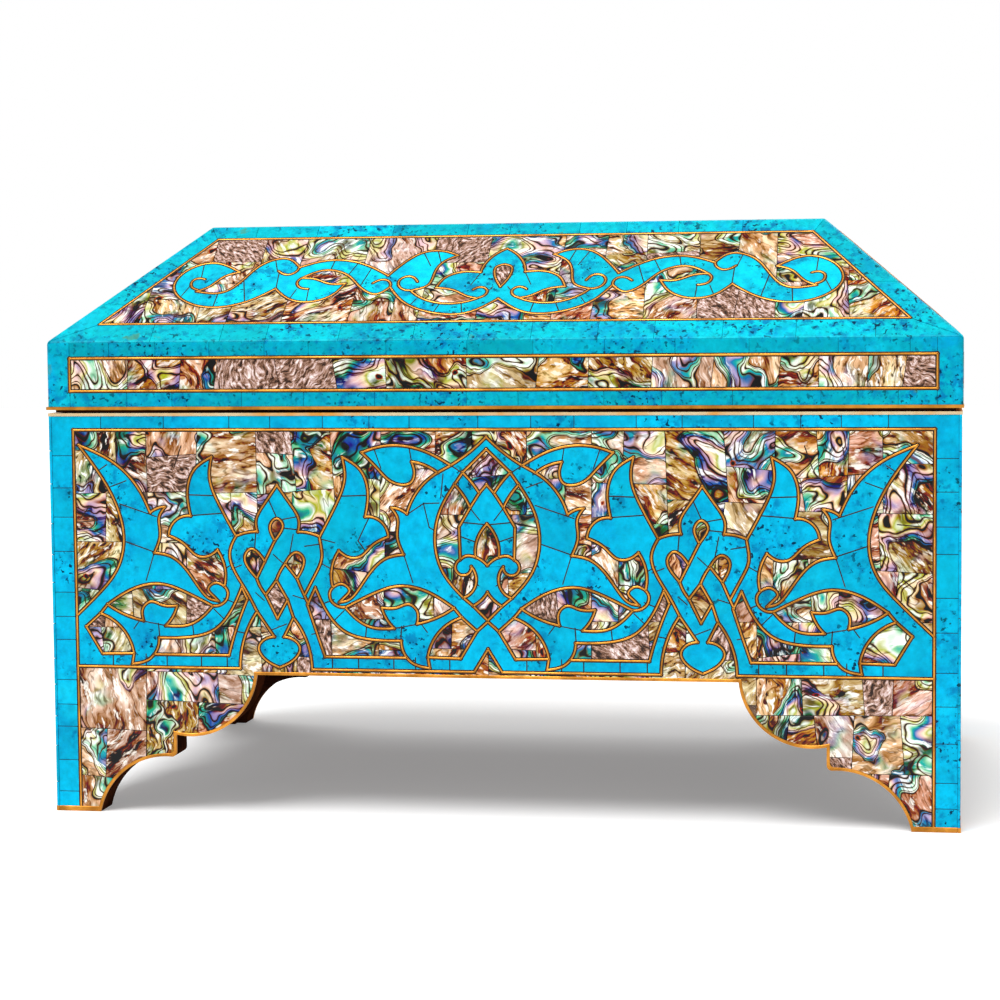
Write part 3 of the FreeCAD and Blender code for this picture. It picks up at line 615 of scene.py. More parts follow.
def slope_drawing(side, sizes, seed):
    """Slope of the lid: a shell field in a turquoise border, with the scroll on three sides."""
    half = LID_HALF_WIDTH if side in LONG_SIDES else LID_HALF_DEPTH
    top = half - LID_INSET
    outline = link((-half, 0), [(half, 0)], [(top, SLOPE_LENGTH)], [(-top, SLOPE_LENGTH)], [(-half, 0)])
    drawing = Drawing(outline, seed)
    round_guides(drawing, outline, sizes)
    low_x, high_x = half - SLOPE_BOTTOM_END, half - SLOPE_TOP_END
    drawing.field(link((-low_x, SLOPE_BOTTOM), [(low_x, SLOPE_BOTTOM)], [(high_x, SLOPE_TOP)],
                       [(-high_x, SLOPE_TOP)], [(-low_x, SLOPE_BOTTOM)]))
    stone = LID_STONE * sizes.stone_length / MM
    for x in drawing.row_joints(-low_x, low_x, stone):
        drawing.joint((x, -PAST_EDGE), (x, SLOPE_BOTTOM + OVERLAP))
    for x in drawing.row_joints(-high_x, high_x, stone):
        drawing.joint((x, SLOPE_TOP - OVERLAP), (x, SLOPE_LENGTH + PAST_EDGE))
    for sign in (-1, 1):
        for (x, z), corner in zip(SLOPE_MITRES, ((half, 0), (top, SLOPE_LENGTH))):
            drawing.joint((sign * (half - x), z), (sign * corner[0], corner[1]))
        for z in drawing.row_joints(SLOPE_BOTTOM, SLOPE_TOP, stone):
            share = (z - SLOPE_BOTTOM) / (SLOPE_TOP - SLOPE_BOTTOM)
            x = low_x + (high_x - low_x) * share
            drawing.joint((sign * (x - OVERLAP), z), (sign * half, z))
    if side != "back":
        add_scroll(drawing, SCROLL_ARM if side == "front" else SCROLL_TIP, side == "front")
    drawing.tiles(-low_x, SLOPE_BOTTOM, low_x, SLOPE_TOP, sizes.shell_tile / MM)
    return drawing


def add_scroll(drawing, arm, long_arm):
    scroll = both_halves(SCROLL_HEART + arm + SCROLL_FOOT)
    drop = both_halves(LID_TEARDROP)
    drawing.motifs.append(loop_of(scroll))
    drawing.windows.append(loop_of(drop))
    drawing.wire(scroll)
    drawing.wire(drop)
    hooks = HEART_HOOKS + (ARM_HOOKS if long_arm else [])
    joints = HEART_JOINTS + (ARM_JOINTS if long_arm else [])
    drawing.wire(hooks + mirrored(hooks), STONE_JOINT)
    drawing.saw(joints + mirrored(joints))


def top_drawing(sizes, seed):
    """Flat top of the lid: a framed shell field."""
    half_x, half_y = LID_HALF_WIDTH - LID_INSET, LID_HALF_DEPTH - LID_INSET
    outline = rectangle(-half_x, -half_y, half_x, half_y)
    drawing = Drawing(outline, seed)
    round_guides(drawing, outline, sizes)
    x, y = half_x - TOP_BORDER, half_y - TOP_BORDER
    drawing.field(rectangle(-x, -y, x, y))
    stone = LID_STONE * sizes.stone_length / MM
    for sign in (-1, 1):
        for place in drawing.row_joints(-x, x, stone):
            drawing.joint((place, sign * (y - OVERLAP)), (place, sign * (half_y + PAST_EDGE)))
        for place in drawing.row_joints(-y, y, stone):
            drawing.joint((sign * (x - OVERLAP), place), (sign * (half_x + PAST_EDGE), place))
        for other in (-1, 1):
            drawing.joint((sign * (x - PAST_EDGE), other * (y - PAST_EDGE)), (sign * half_x, other * half_y))
    drawing.tiles(-x, -y, x, y, sizes.shell_tile / MM)
    return drawing


# Cutting a drawing into pieces: points closer than this are one, in decimals and in millimetres
POINT_DECIMALS = 3
POINT_REACH = 1e-5


def arrange(lines):
    """Cut the plane along all lines.

    Returns the corners, the triangles, the marks on each triangle's sides, and the triangles beside them.
    """
    lengths = [len(path) for _, path in lines]
    starts = np.setdiff1d(np.arange(sum(lengths)), np.cumsum(lengths) - 1)
    marks = np.repeat([sort for sort, _ in lines], lengths)[starts]
    points = np.round(np.concatenate([path for _, path in lines]), POINT_DECIMALS)
    points, number = np.unique(points, axis=0, return_inverse=True)
    edges = np.sort(np.stack([number.ravel()[starts], number.ravel()[starts + 1]], axis=1), axis=1)
    edges, source = np.unique(edges, axis=0, return_inverse=True)
    joined = np.zeros(len(edges), int)
    np.bitwise_or.at(joined, source.ravel(), marks)
    real = edges[:, 0] != edges[:, 1]
    edges, joined = edges[real], joined[real]
    flat, sides, faces, _, sources, _ = delaunay_2d_cdt(
        [Vector(point) for point in points.tolist()], edges.tolist(), [], 0, POINT_REACH, True)
    flat, tris, sides = np.array(flat, float), np.array(faces), np.sort(np.array(sides), axis=1)
    a, b, c = (flat[tris[:, i]] for i in range(3))
    turned = np.cross(b - a, c - a) < 0
    tris[turned] = tris[turned][:, ::-1]
    side_marks = np.array([np.bitwise_or.reduce(joined[source]) if source else 0 for source in sources])
    side_key = sides[:, 0] * len(flat) + sides[:, 1]
    order = np.argsort(side_key)
    nexts = np.roll(tris, -1, axis=1)
    key = np.minimum(tris, nexts) * len(flat) + np.maximum(tris, nexts)
    mark = side_marks[order][np.searchsorted(side_key[order], key)]
    flow = np.argsort(key.ravel(), kind="stable")
    same = key.ravel()[flow[:-1]] == key.ravel()[flow[1:]]
    beside = np.full(key.size, -1)
    beside[flow[:-1][same]] = flow[1:][same] // 3
    beside[flow[1:][same]] = flow[:-1][same] // 3
    return flat, tris, mark, beside.reshape(-1, 3)


def patches(open_side, beside):
    """Number the groups of triangles joined through open sides, by handing on the lowest number."""
    tri, side = np.nonzero(open_side & (beside >= 0))
    other = beside[tri, side]
    label = np.arange(len(beside))
    while True:
        lowest = np.minimum(label[tri], label[other])
        fresh = label.copy()
        np.minimum.at(fresh, label[tri], lowest)
        np.minimum.at(fresh, tri, lowest)
        fresh = fresh[fresh]
        if np.array_equal(fresh, label):
            return np.unique(label, return_inverse=True)[1]
        label = fresh


def areas(flat, tris):
    a, b, c = (flat[tris[:, i]] for i in range(3))
    return np.cross(b - a, c - a) / 2


# Corners of blocks: sides nearly in line, the sharpest turn that is followed, and the longest mitre
NEARLY_STRAIGHT = 0.9
SHARPEST = 0.05
LONGEST_MITRE = 2.5
TINY = 1e-9


class Cut:
    """A drawing cut up: its triangles, the sort of each, and the piece that each belongs to."""

    def __init__(self, drawing):
        flat, tris, mark, beside = arrange(drawing.lines)
        patch = patches(mark & OUTLINE == 0, beside)
        size = areas(flat, tris)
        order = np.lexsort((size, patch))
        largest = order[np.append(np.diff(patch[order]) > 0, True)]
        sort = drawing.sort_of(flat[tris[largest]].mean(axis=1))[patch]
        keep = sort != OUTSIDE
        number = np.where(keep, np.cumsum(keep) - 1, -1)
        beside = np.where(beside[keep] >= 0, number[beside[keep]], -1)
        self.flat, self.tris, self.mark, self.beside = flat, tris[keep], mark[keep], beside
        self.sort = sort[keep]
        barrier = np.select([self.sort == SHELL, self.sort == BINDING], [OUTLINE | SHELL_JOINT, OUTLINE],
                            OUTLINE | STONE_JOINT)
        self.piece = patches(self.mark & barrier[:, None] == 0, self.beside)
        self.random = drawing.random
        self.piece_size = np.bincount(self.piece, size[keep])

    def blocks(self, chosen, gap, chamfer, top, bottom, piece=None, rim=0.0):
        """Raise chosen triangles as separate blocks with chamfered edges.

        Every corner moves in from its two border sides by half a gap (by rim on an outer border) and, on the
        top face, by the chamfer too: the shift is the sum of the two side normals that meets both distances.
        Returns points (across, up, out), triangles and the piece of each point.
        """
        piece = self.piece if piece is None else piece
        beside = self.beside[chosen]
        tris, owner, mark = self.tris[chosen], piece[chosen], self.mark[chosen]
        chosen_piece = np.where(chosen, piece, -1)
        border = (beside < 0) | (np.where(beside >= 0, chosen_piece[beside], -1) != owner[:, None])
        keys = owner[:, None] * len(self.flat) + tris
        unique, corner = np.unique(keys, return_inverse=True)
        corner = corner.reshape(keys.shape)
        base = self.flat[unique % len(self.flat)]
        owner_of = unique // len(self.flat)
        tri, side = np.nonzero(border)
        s, e = corner[tri, side], corner[tri, (side + 1) % 3]
        along = base[e] - base[s]
        normal = np.stack([-along[:, 1], along[:, 0]], axis=1) / np.linalg.norm(along, axis=1)[:, None]
        inner = mark[tri, side] & (STONE_JOINT | SHELL_JOINT) > 0
        distance = np.where(beside[tri, side] < 0, rim, np.where(inner, gap / 2, 0.0))
        normals, away = np.zeros((2, len(base), 2)), np.zeros((2, len(base)))
        normals[0, e], normals[1, s] = normal, normal
        away[0, e], away[1, s] = distance, distance

        def moved(extra):
            dot = (normals[0] * normals[1]).sum(axis=1)
            first, second = away + extra
            even = dot > NEARLY_STRAIGHT
            spread = np.where(even, 1 + dot, np.maximum(1 - dot ** 2, SHARPEST))
            weight = np.where(even, first, first - dot * second) / spread
            other = np.where(even, second, second - dot * first) / spread
            shift = weight[:, None] * normals[0] + other[:, None] * normals[1]
            length = np.linalg.norm(shift, axis=1)
            limit = LONGEST_MITRE * np.maximum(first, second)
            return base + shift * np.minimum(1, limit / np.maximum(length, TINY))[:, None]

        def level(plane, height):
            return np.column_stack([plane, np.full(len(plane), height)])

        rim_plane = moved(0.0)
        count = len(base)
        points = np.concatenate([level(moved(chamfer), top), level(rim_plane, top - chamfer),
                                 level(rim_plane, bottom)])
        faces = [corner, corner[:, ::-1] + 2 * count]
        for upper in (0, count):
            lower = upper + count
            faces.append(np.column_stack([s + lower, e + lower, e + upper]))
            faces.append(np.column_stack([s + lower, e + upper, s + upper]))
        return points, np.concatenate(faces), np.tile(owner_of, 3)


# Nose of a bead: where its two sections lie past the end and how wide they are, as shares of the half width
NOSE_REACH = (0.45, 0.85)
NOSE_WIDTH = (0.88, 0.45)
BEAD_CORNERS = 6


def bead(path, width, crown, foot):
    """Half-round strip along a path: a half ellipse over a flat foot, drawn in to a nose at each end."""
    ahead = np.gradient(path, axis=0)
    ahead /= np.linalg.norm(ahead, axis=1)[:, None]
    nose = width / 2 * np.array(NOSE_REACH)[:, None]
    path = np.concatenate([path[0] - nose[::-1] * ahead[0], path, path[-1] + nose * ahead[-1]])
    ahead = np.concatenate([ahead[[0, 0]], ahead, ahead[[-1, -1]]])
    scale = np.ones(len(path))
    scale[[1, -2]], scale[[0, -1]] = NOSE_WIDTH
    angle = np.linspace(0, np.pi, BEAD_CORNERS)
    across = width / 2 * np.cos(angle)
    lift = foot + (crown - foot) * np.sin(angle)
    left = np.stack([-ahead[:, 1], ahead[:, 0]], axis=1)
    rings = path[:, None] + left[:, None] * (across * scale[:, None])[..., None]
    points = np.concatenate([rings, np.broadcast_to(lift[:, None], rings.shape[:2] + (1,))], axis=2)
    count, around = rings.shape[:2]
    i, j = np.meshgrid(np.arange(count - 1), np.arange(around), indexing="ij")
    a, b = i * around + j, i * around + (j + 1) % around
    c, d = b + around, a + around
    faces = np.concatenate([np.stack([a, d, c], axis=-1).reshape(-1, 3),
                            np.stack([a, c, b], axis=-1).reshape(-1, 3)])
    cap = np.array([(0, k, k + 1) for k in range(1, around - 1)])
    faces = np.concatenate([faces, cap, cap[:, ::-1] + (count - 1) * around])
    return points.reshape(-1, 3), faces


def beads(paths, width, crown, foot):
    return gather([bead(path, width, crown, foot) for path in paths])


def gather(parts):
    """Join (points, faces, ...) parts into one, with the faces renumbered."""
    offsets = np.cumsum([0] + [len(part[0]) for part in parts[:-1]])
    faces = np.concatenate([part[1] + offset for part, offset in zip(parts, offsets)])
    rest = [np.concatenate(column) for column in list(zip(*parts))[2:]]
    return (np.concatenate([part[0] for part in parts]), faces, *rest)


# Carrying a drawing to its face
TURNS = {"front": 0.0, "right": math.pi / 2, "back": math.pi, "left": 1.5 * math.pi}
ROUNDING_PASSES = 30


def turned(points, side):
    c, s = math.cos(TURNS[side]), math.sin(TURNS[side])
    return points @ np.array([(c, s, 0), (-s, c, 0), (0, 0, 1)])


def reach_of(side, half_width, half_depth):
    return half_depth if side in LONG_SIDES else half_width


def on_body(side):
    """Carry (across, up, out) to an upright face of the body."""
    reach = reach_of(side, HALF_WIDTH, HALF_DEPTH)

    def carry(points):
        return turned(np.column_stack([points[:, 0], -reach - points[:, 2], points[:, 1]]), side)

    return carry


def lid_planes(inset):
    """Outward normals and distances of the lid's faces, moved in by inset."""
    lean, rise = math.sin(SLOPE), math.cos(SLOPE)
    normals, limits = [(0, 0, 1)], [LID_TOP]
    for side in TURNS:
        reach = reach_of(side, LID_HALF_WIDTH, LID_HALF_DEPTH)
        wall, slope = turned(np.array([(0.0, -1.0, 0.0), (0.0, -lean, rise)]), side)
        normals += [wall, slope]
        limits += [reach, reach * lean + LID_FOLD * rise]
    return np.array(normals), np.array(limits) - inset


def rounded(points, out, radius):
    """Bend the lid's skin round its edges.

    The nearest point of the form drawn in by the radius is found by projecting on its planes in turn, with
    each plane's last push given back first; the skin lies one radius out from there.
    """
    normals, limits = lid_planes(radius)
    near, push = points.copy(), np.zeros((len(limits),) + points.shape)
    for _ in range(ROUNDING_PASSES):
        for i, (normal, limit) in enumerate(zip(normals, limits)):
            tried = near + push[i]
            near = tried - np.maximum(tried @ normal - limit, 0)[:, None] * normal
            push[i] = tried - near
    away = points - near
    return near + away / np.linalg.norm(away, axis=1)[:, None] * (radius + out)[:, None]


def on_lid(side, tilt, lift, radius):
    """Carry (across, up, out) to a band or slope of the lid, or to its top when side is None."""
    def carry(points):
        across, up, out = points.T
        if side is None:
            return rounded(np.column_stack([across, up, np.full(len(up), LID_TOP)]), out, radius)
        reach = reach_of(side, LID_HALF_WIDTH, LID_HALF_DEPTH)
        skin = np.column_stack([across, -reach + up * math.cos(tilt), lift + up * math.sin(tilt)])
        return rounded(turned(skin, side), out, radius)

    return carry


# Meshes
def mesh_object(name, materials, points, faces, values=None, slots=None, smooth=False):
    """Make an object at the origin from points in millimetres; values becomes the piece's own attribute."""
    mesh = bpy.data.meshes.new(name)
    mesh.vertices.add(len(points))
    mesh.vertices.foreach_set("co", (points * MM).astype(np.float32).ravel())
    mesh.loops.add(faces.size)
    mesh.loops.foreach_set("vertex_index", faces.astype(np.int32).ravel())
    mesh.polygons.add(len(faces))
    mesh.polygons.foreach_set("loop_start", np.arange(0, faces.size, 3, dtype=np.int32))
    mesh.polygons.foreach_set("use_smooth", np.full(len(faces), smooth))
    for material in materials:
        mesh.materials.append(material)
    if slots is not None:
        mesh.polygons.foreach_set("material_index", slots.astype(np.int32))
    if values is not None:
        attribute = mesh.attributes.new("piece", "FLOAT_VECTOR", "POINT")
        attribute.data.foreach_set("vector", values.astype(np.float32).ravel())
    mesh.update(calc_edges=True)
    made = bpy.data.objects.new(name, mesh)
    bpy.context.scene.collection.objects.link(made)
    return made


def settle(piece, body, slot, *nodes):
    """Fix a piece to its body and let it stand for the plain solids."""
    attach(piece, body)
    shown = [node for node in nodes if node in frame["nodes"]]
    if shown:
        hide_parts(*shown)


# Smallest shell plate in square millimetres, below which resin fills the place
SCRAP = 11.0
# Width of the dark line along a saw joint, over the gap of the joint
JOINT_LINE = 3.0
# Slots of the filler, and the third slot of the lid's stones
RESIN, PITCH = range(2)
BAND_FINISH = 2
CENTIMETRE = 10.0


def plate_values(points, owner, chance):
    """Own coordinates of each plate: its plane in centimetres, turned by chance, and a chance of its own."""
    angle = chance[owner, 0] * 2 * math.pi
    c, s = np.cos(angle), np.sin(angle)
    across, along = points[:, 0] / CENTIMETRE, points[:, 1] / CENTIMETRE
    return np.column_stack([c * across - s * along, s * across + c * along, chance[owner, 1]])


def stone_finishes(body, colours):
    """Turquoise of the borders, of the motif, and of the lid's upright band."""
    if body == "box":
        return [shared("body_turquoise", turquoise, colours, colours.turquoise)] * 2
    return [shared("lid_border_turquoise", turquoise, colours, colours.lid_turquoise, True),
            shared("scroll_turquoise", turquoise, colours, colours.scroll_turquoise),
            shared("band_turquoise", turquoise, colours, colours.band_turquoise, True)]


def inlay(name, body, faces, sizes, colours):
    """Cut and set all stones, plates, wires and filler of one side; faces holds (drawing, carry) pairs."""
    stones, plates, fillers, wires, bindings = [], [], [], [], []
    chamfer = sizes.edge_chamfer / MM
    for drawing, carry in faces:
        cut = Cut(drawing)
        chance = cut.random.random((len(cut.piece_size), 3))
        shell = cut.sort == SHELL
        scrap = shell & (cut.piece_size[cut.piece] < SCRAP)
        for sort in (BORDER, MOTIF):
            chosen = cut.sort == sort
            if not chosen.any():
                continue
            gap = sizes.lid_joint if body == "lid" and sort == BORDER else sizes.stone_joint
            points, tris, owner = cut.blocks(chosen, gap / MM, chamfer, STONE_TOP, STONE_FOOT)
            slot = BAND_FINISH if drawing.band and sort == BORDER else sort - BORDER
            stones.append((carry(points), tris, chance[owner], np.full(len(tris), slot)))
        gap = sizes.shell_joint / MM
        points, tris, owner = cut.blocks(shell & ~scrap, gap, chamfer, STONE_TOP, STONE_FOOT)
        plates.append((carry(points), tris, plate_values(points, owner, chance)))
        binding = cut.sort == BINDING
        if binding.any():
            points, tris, _ = cut.blocks(binding, 0.0, chamfer, 0.0, STONE_FOOT)
            bindings.append((carry(points), tris))
        every, one = np.ones(len(cut.tris), bool), np.zeros(len(cut.tris), int)
        laid = [(PITCH, cut.blocks(every, 0.0, chamfer, BED_TOP, -SKIN, one, BED_INSET))]
        if scrap.any():
            laid.append((RESIN, cut.blocks(scrap, 0.0, chamfer, SCRAP_TOP, STONE_FOOT)))
        laid.append((PITCH, beads(drawing.wires, sizes.filler_width / MM, FILLER_CROWN, FILLER_FOOT)))
        if drawing.joints:
            width = JOINT_LINE * sizes.stone_joint / MM
            laid.append((PITCH, beads(drawing.joints, width, JOINT_CROWN, JOINT_FOOT)))
        fillers += [(carry(points), tris, np.full(len(tris), slot)) for slot, (points, tris, *_) in laid]
        points, tris = beads(drawing.wires, sizes.wire_width / MM, 0.0, WIRE_FOOT)
        wires.append((carry(points), tris))
    made = mesh_object(name + "_stones", stone_finishes(body, colours), *gather(stones))
    settle(made, body, "turquoise", name + "_border", name + "_arabesque")
    made = mesh_object(name + "_plates", [shared("nacre", nacre, colours)], *gather(plates))
    settle(made, body, "shell", name + "_shell")
    points, tris, slots = gather(fillers)
    resins = [shared("filler", filler, colours), shared("pitch", pitch, colours)]
    made = mesh_object(name + "_filler", resins, points, tris, slots=slots)
    settle(made, body, "wood")
    metal = [shared("wire_brass", brass, colours)]
    made = mesh_object(name + "_wires", metal, *gather(wires), smooth=True)
    settle(made, body, "brass", name + "_wire")
    if bindings:
        made = mesh_object(name + "_binding", metal, *gather(bindings))
        settle(made, body, "brass", name + "_edging")


# Finishes
class Finish:
    """A node material under construction round one principled shader."""

    def __init__(self, name, **sockets):
        self.material = bpy.data.materials.new(name)
        self.material.use_nodes = True
        self.tree = self.material.node_tree
        self.tree.nodes.clear()
        output = self.tree.nodes.new("ShaderNodeOutputMaterial")
        self.shader = self.tree.nodes.new("ShaderNodeBsdfPrincipled")
        self.tree.links.new(self.shader.outputs[0], output.inputs[0])
        self.set(**sockets)

    def feed(self, socket, value):
        if isinstance(value, bpy.types.NodeSocket):
            self.tree.links.new(value, socket)
        else:
            socket.default_value = value

    def set(self, **sockets):
        for name, value in sockets.items():
            self.feed(self.shader.inputs[name.replace("_", " ")], value)

    def node(self, kind, inputs, output=0, **settings):
        made = self.tree.nodes.new("ShaderNode" + kind)
        for name, value in settings.items():
            setattr(made, name, value)
        for name, value in inputs.items():
            self.feed(made.inputs[name], value)
        return made.outputs[output]

    def place(self):
        return self.node("TexCoord", {}, "Object")

    def piece(self):
        return self.node("Attribute", {}, "Vector", attribute_name="piece")

    def parts(self, vector):
        made = self.tree.nodes.new("ShaderNodeSeparateXYZ")
        self.feed(made.inputs[0], vector)
        return made.outputs

    def noise(self, vector, scale, detail=2.0, roughness=0.5, output="Fac"):
        return self.node("TexNoise", {"Vector": vector, "Scale": scale, "Detail": detail,
                                      "Roughness": roughness}, output)

    def math(self, operation, a, b=0.0, c=0.0):
        return self.node("Math", {0: a, 1: b, 2: c}, operation=operation)

    def vector(self, operation, a, b):
        return self.node("VectorMath", {0: a, 1: b}, operation=operation)

    def moved(self, vector, *distance):
        return self.vector("ADD", vector, distance)

    def stretched(self, vector, *scale):
        return self.node("Mapping", {0: vector, 3: scale})

    def drawn_again(self, chance, stride):
        """Another chance of the same piece, from the further decimals of the first."""
        return self.math("FRACT", self.math("MULTIPLY", chance, stride))

    def step(self, value, start, stop):
        """Smooth change from 0 at start to 1 at stop."""
        return self.node("MapRange", {"Value": value, "From Min": start, "From Max": stop},
                         interpolation_type="SMOOTHSTEP")

    def mix(self, share, a, b, blend="MIX"):
        """Colour a passing to colour b by a share; each is a socket or red, green and blue."""
        a, b = (paint if isinstance(paint, bpy.types.NodeSocket) else (*paint, 1.0) for paint in (a, b))
        return self.node("Mix", {0: share, 6: a, 7: b}, 2, data_type="RGBA", blend_type=blend)

    def over(self, colour, mask, share, paint):
        """Paint laid over a colour by a share of the mask."""
        return self.mix(self.math("MULTIPLY", mask, share), colour, paint)

    def ramp(self, value, stops):
        made = self.tree.nodes.new("ShaderNodeValToRGB")
        elements = made.color_ramp.elements
        while len(elements) < len(stops):
            elements.new(0.5)
        for element, (position, colour) in zip(elements, stops):
            element.position = position
            element.color = (*colour, 1.0)
        self.feed(made.inputs[0], value)
        return made.outputs[0]

    def bump(self, height, strength, distance):
        inputs = {"Height": height, "Strength": strength, "Distance": distance}
        self.set(Normal=self.node("Bump", inputs))


def shared(name, maker, colours, *others):
    """A finish that many pieces share, made once."""
    return bpy.data.materials.get(name) or maker(name, colours, *others)


def turquoise(name, colours, base, speckled=False):
    """Polished turquoise: clouds of deeper blue, specks in drifts, and a shade of its own for each stone.

    Speckled turquoise has more clouds, stains and specks, and rare green crusts.
    """
    finish = Finish(name, Roughness=0.34, Specular_IOR_Level=0.05)
    place, stone = finish.place(), finish.parts(finish.piece())
    cloud = finish.step(finish.noise(place, 60.0, 6.0, 0.68), 0.44, 0.68)
    colour = finish.over(base, cloud, 0.75 if speckled else 0.7, colours.turquoise_deep)
    pale = finish.step(finish.noise(finish.moved(place, 3.1, 1.7, 0.4), 46.0, 5.0, 0.65), 0.52, 0.74)
    colour = finish.over(colour, pale, 0.6, colours.turquoise_pale)
    drift = finish.step(finish.noise(place, 42.0, 3.0), 0.30 if speckled else 0.47, 0.60)
    stain = finish.step(finish.noise(place, 230.0, 5.0, 0.68), 0.48, 0.62)
    stain = finish.math("MULTIPLY", stain, drift)
    colour = finish.over(colour, stain, 0.85 if speckled else 0.7, colours.turquoise_stain)
    speck = finish.step(finish.noise(place, 520.0, 2.0, 0.5), 0.58 if speckled else 0.63, 0.65)
    speck = finish.math("MULTIPLY", speck, drift)
    colour = finish.over(colour, speck, 0.95, colours.turquoise_vein)
    mottle = finish.math("MULTIPLY_ADD", finish.noise(place, 330.0, 4.0, 0.6), 0.9, 0.55)
    shade = finish.math("MULTIPLY", finish.math("MULTIPLY_ADD", stone[0], 0.24, 0.88), mottle)
    shade = finish.node("CombineColor", {0: shade, 1: shade, 2: shade})
    colour = finish.mix(1.0, colour, shade, "MULTIPLY")
    colour = finish.over(colour, finish.math("POWER", stone[1], 4.0), 0.3, colours.turquoise_green)
    if speckled:
        crust = finish.step(finish.noise(finish.moved(place, 0.9, 2.3, 5.0), 55.0, 4.0, 0.6), 0.66, 0.72)
        colour = finish.over(colour, crust, 0.7, colours.turquoise_crust)
    finish.set(Base_Color=colour)
    finish.bump(finish.math("SUBTRACT", finish.noise(place, 240.0, 3.0), speck), 0.12, 0.0002)
    return finish.material


# Colours of the shell
IRIDESCENCE = [(0.0, (0.80, 0.85, 0.78)), (0.12, (0.30, 0.56, 0.36)), (0.24, (0.04, 0.34, 0.34)),
               (0.36, (0.10, 0.21, 0.39)), (0.48, (0.41, 0.34, 0.50)), (0.60, (0.72, 0.50, 0.48)),
               (0.72, (0.86, 0.70, 0.50)), (0.86, (0.46, 0.48, 0.18)), (1.0, (0.80, 0.85, 0.78))]
GROUND = [(0.28, (0.030, 0.014, 0.008)), (0.38, (0.22, 0.12, 0.07)), (0.47, (0.47, 0.31, 0.22)),
          (0.56, (0.66, 0.49, 0.38)), (0.65, (0.86, 0.74, 0.62)), (0.76, (1.0, 0.98, 0.93))]
TINTS = [(0.0, (1.0, 0.84, 0.78)), (0.3, (1.0, 0.90, 0.66)), (0.5, (0.82, 0.92, 0.74)),
         (0.7, (1.0, 0.80, 0.80)), (0.85, (0.88, 0.90, 1.0)), (1.0, (1.0, 0.76, 0.48))]
CORK = [(0.40, (0.020, 0.008, 0.005)), (0.47, (0.19, 0.085, 0.045)), (0.53, (0.45, 0.27, 0.20)),
        (0.58, (0.66, 0.47, 0.45)), (0.66, (0.97, 0.88, 0.83))]
PALE_FLAKE, DARK_FLAKE = (1.0, 0.95, 0.88), (0.07, 0.033, 0.017)
PALE_SHARD, DARK_SHARD = (1.0, 0.98, 0.93), (0.03, 0.018, 0.012)
DEEP_SHEEN, GLINT = (0.014, 0.026, 0.042), (0.95, 0.97, 0.94)
VEIN, RUST, DARK_LINE = (0.05, 0.024, 0.013), (0.20, 0.085, 0.025), (0.014, 0.007, 0.005)
EYE_RING, EYE_MIDDLE = (0.36, 0.13, 0.03), (0.03, 0.009, 0.007)
# Share of the plates that are crumbly, like cork, and a start for the distance from growth lines
CORK_SHARE = 0.12
FAR_FROM_LINES = 100.0
# Levels of the shell's growth lines, and how far each line reaches to both sides
GROWTH_LINES = ((0.490, 0.0070), (0.512, 0.0034), (0.552, 0.0046), (0.598, 0.0078), (0.645, 0.0056))


def growth_lines(finish, height, spot):
    """Lines of uneven width along some levels of the height, and the rust beside them."""
    near = FAR_FROM_LINES
    for level, reach in GROWTH_LINES:
        away = finish.math("ABSOLUTE", finish.math("SUBTRACT", height, level))
        near = finish.math("MINIMUM", finish.math("DIVIDE", away, reach), near)
    near = finish.math("DIVIDE", near, finish.math("MULTIPLY_ADD", finish.noise(spot, 1.9, 1.0), 1.2, 0.4))
    return [finish.math("SUBTRACT", 1.0, finish.step(near, *ends)) for ends in ((0.5, 1.0), (0.8, 2.4))]


def shell_ground(finish, grain, spot, chance):
    """Streaked ground in the plate's own tint, with pale and dark flakes."""
    tint = finish.ramp(finish.drawn_again(chance, 37.0), TINTS)
    ground = finish.mix(1.0, finish.ramp(grain, GROUND), tint, "MULTIPLY")
    flakes = finish.noise(finish.stretched(spot, 1.6, 4.2, 1.0), 1.0, 3.0, 0.6)
    ground = finish.over(ground, finish.step(flakes, 0.56, 0.66), 0.75, PALE_FLAKE)
    return finish.over(ground, finish.step(flakes, 0.44, 0.35), 0.5, DARK_FLAKE)


def shell_sheen(finish, height, warped, streaks, seed):
    """Changing colours that follow the height, deep in some places and glinting in others."""
    drift = finish.math("MULTIPLY_ADD", height, 2.6, seed)
    hue = finish.math("FRACT", finish.math("MULTIPLY_ADD", finish.noise(warped, 0.9, 1.5), 1.6, drift))
    sheen = finish.ramp(hue, IRIDESCENCE)
    deep = finish.step(finish.noise(finish.moved(warped, 2.0, 9.0, 0.0), 1.0, 2.5, 0.5), 0.50, 0.70)
    sheen = finish.over(sheen, deep, 0.7, DEEP_SHEEN)
    glint = finish.step(finish.noise(finish.moved(streaks, 7.0, 3.0, 0.0), 1.5, 4.0, 0.65), 0.54, 0.64)
    return finish.over(sheen, glint, 0.75, GLINT)


def shell_eyes(finish, colour, warped, seed):
    """Scattered rusty eyes of uneven size with dark middles."""
    scatter = {"Vector": finish.vector("ADD", warped, finish.node("CombineXYZ", {0: seed})), "Scale": 0.5}
    eye = finish.node("TexVoronoi", scatter, "Distance", voronoi_dimensions="2D")
    pick = finish.parts(finish.node("TexVoronoi", scatter, "Color", voronoi_dimensions="2D"))
    eye = finish.math("ADD", eye, finish.math("MULTIPLY", finish.step(pick[0], 0.1, 0.6), 0.1))
    colour = finish.mix(finish.step(eye, 0.085, 0.055), colour, EYE_RING)
    return finish.mix(finish.step(eye, 0.055, 0.038), colour, EYE_MIDDLE)


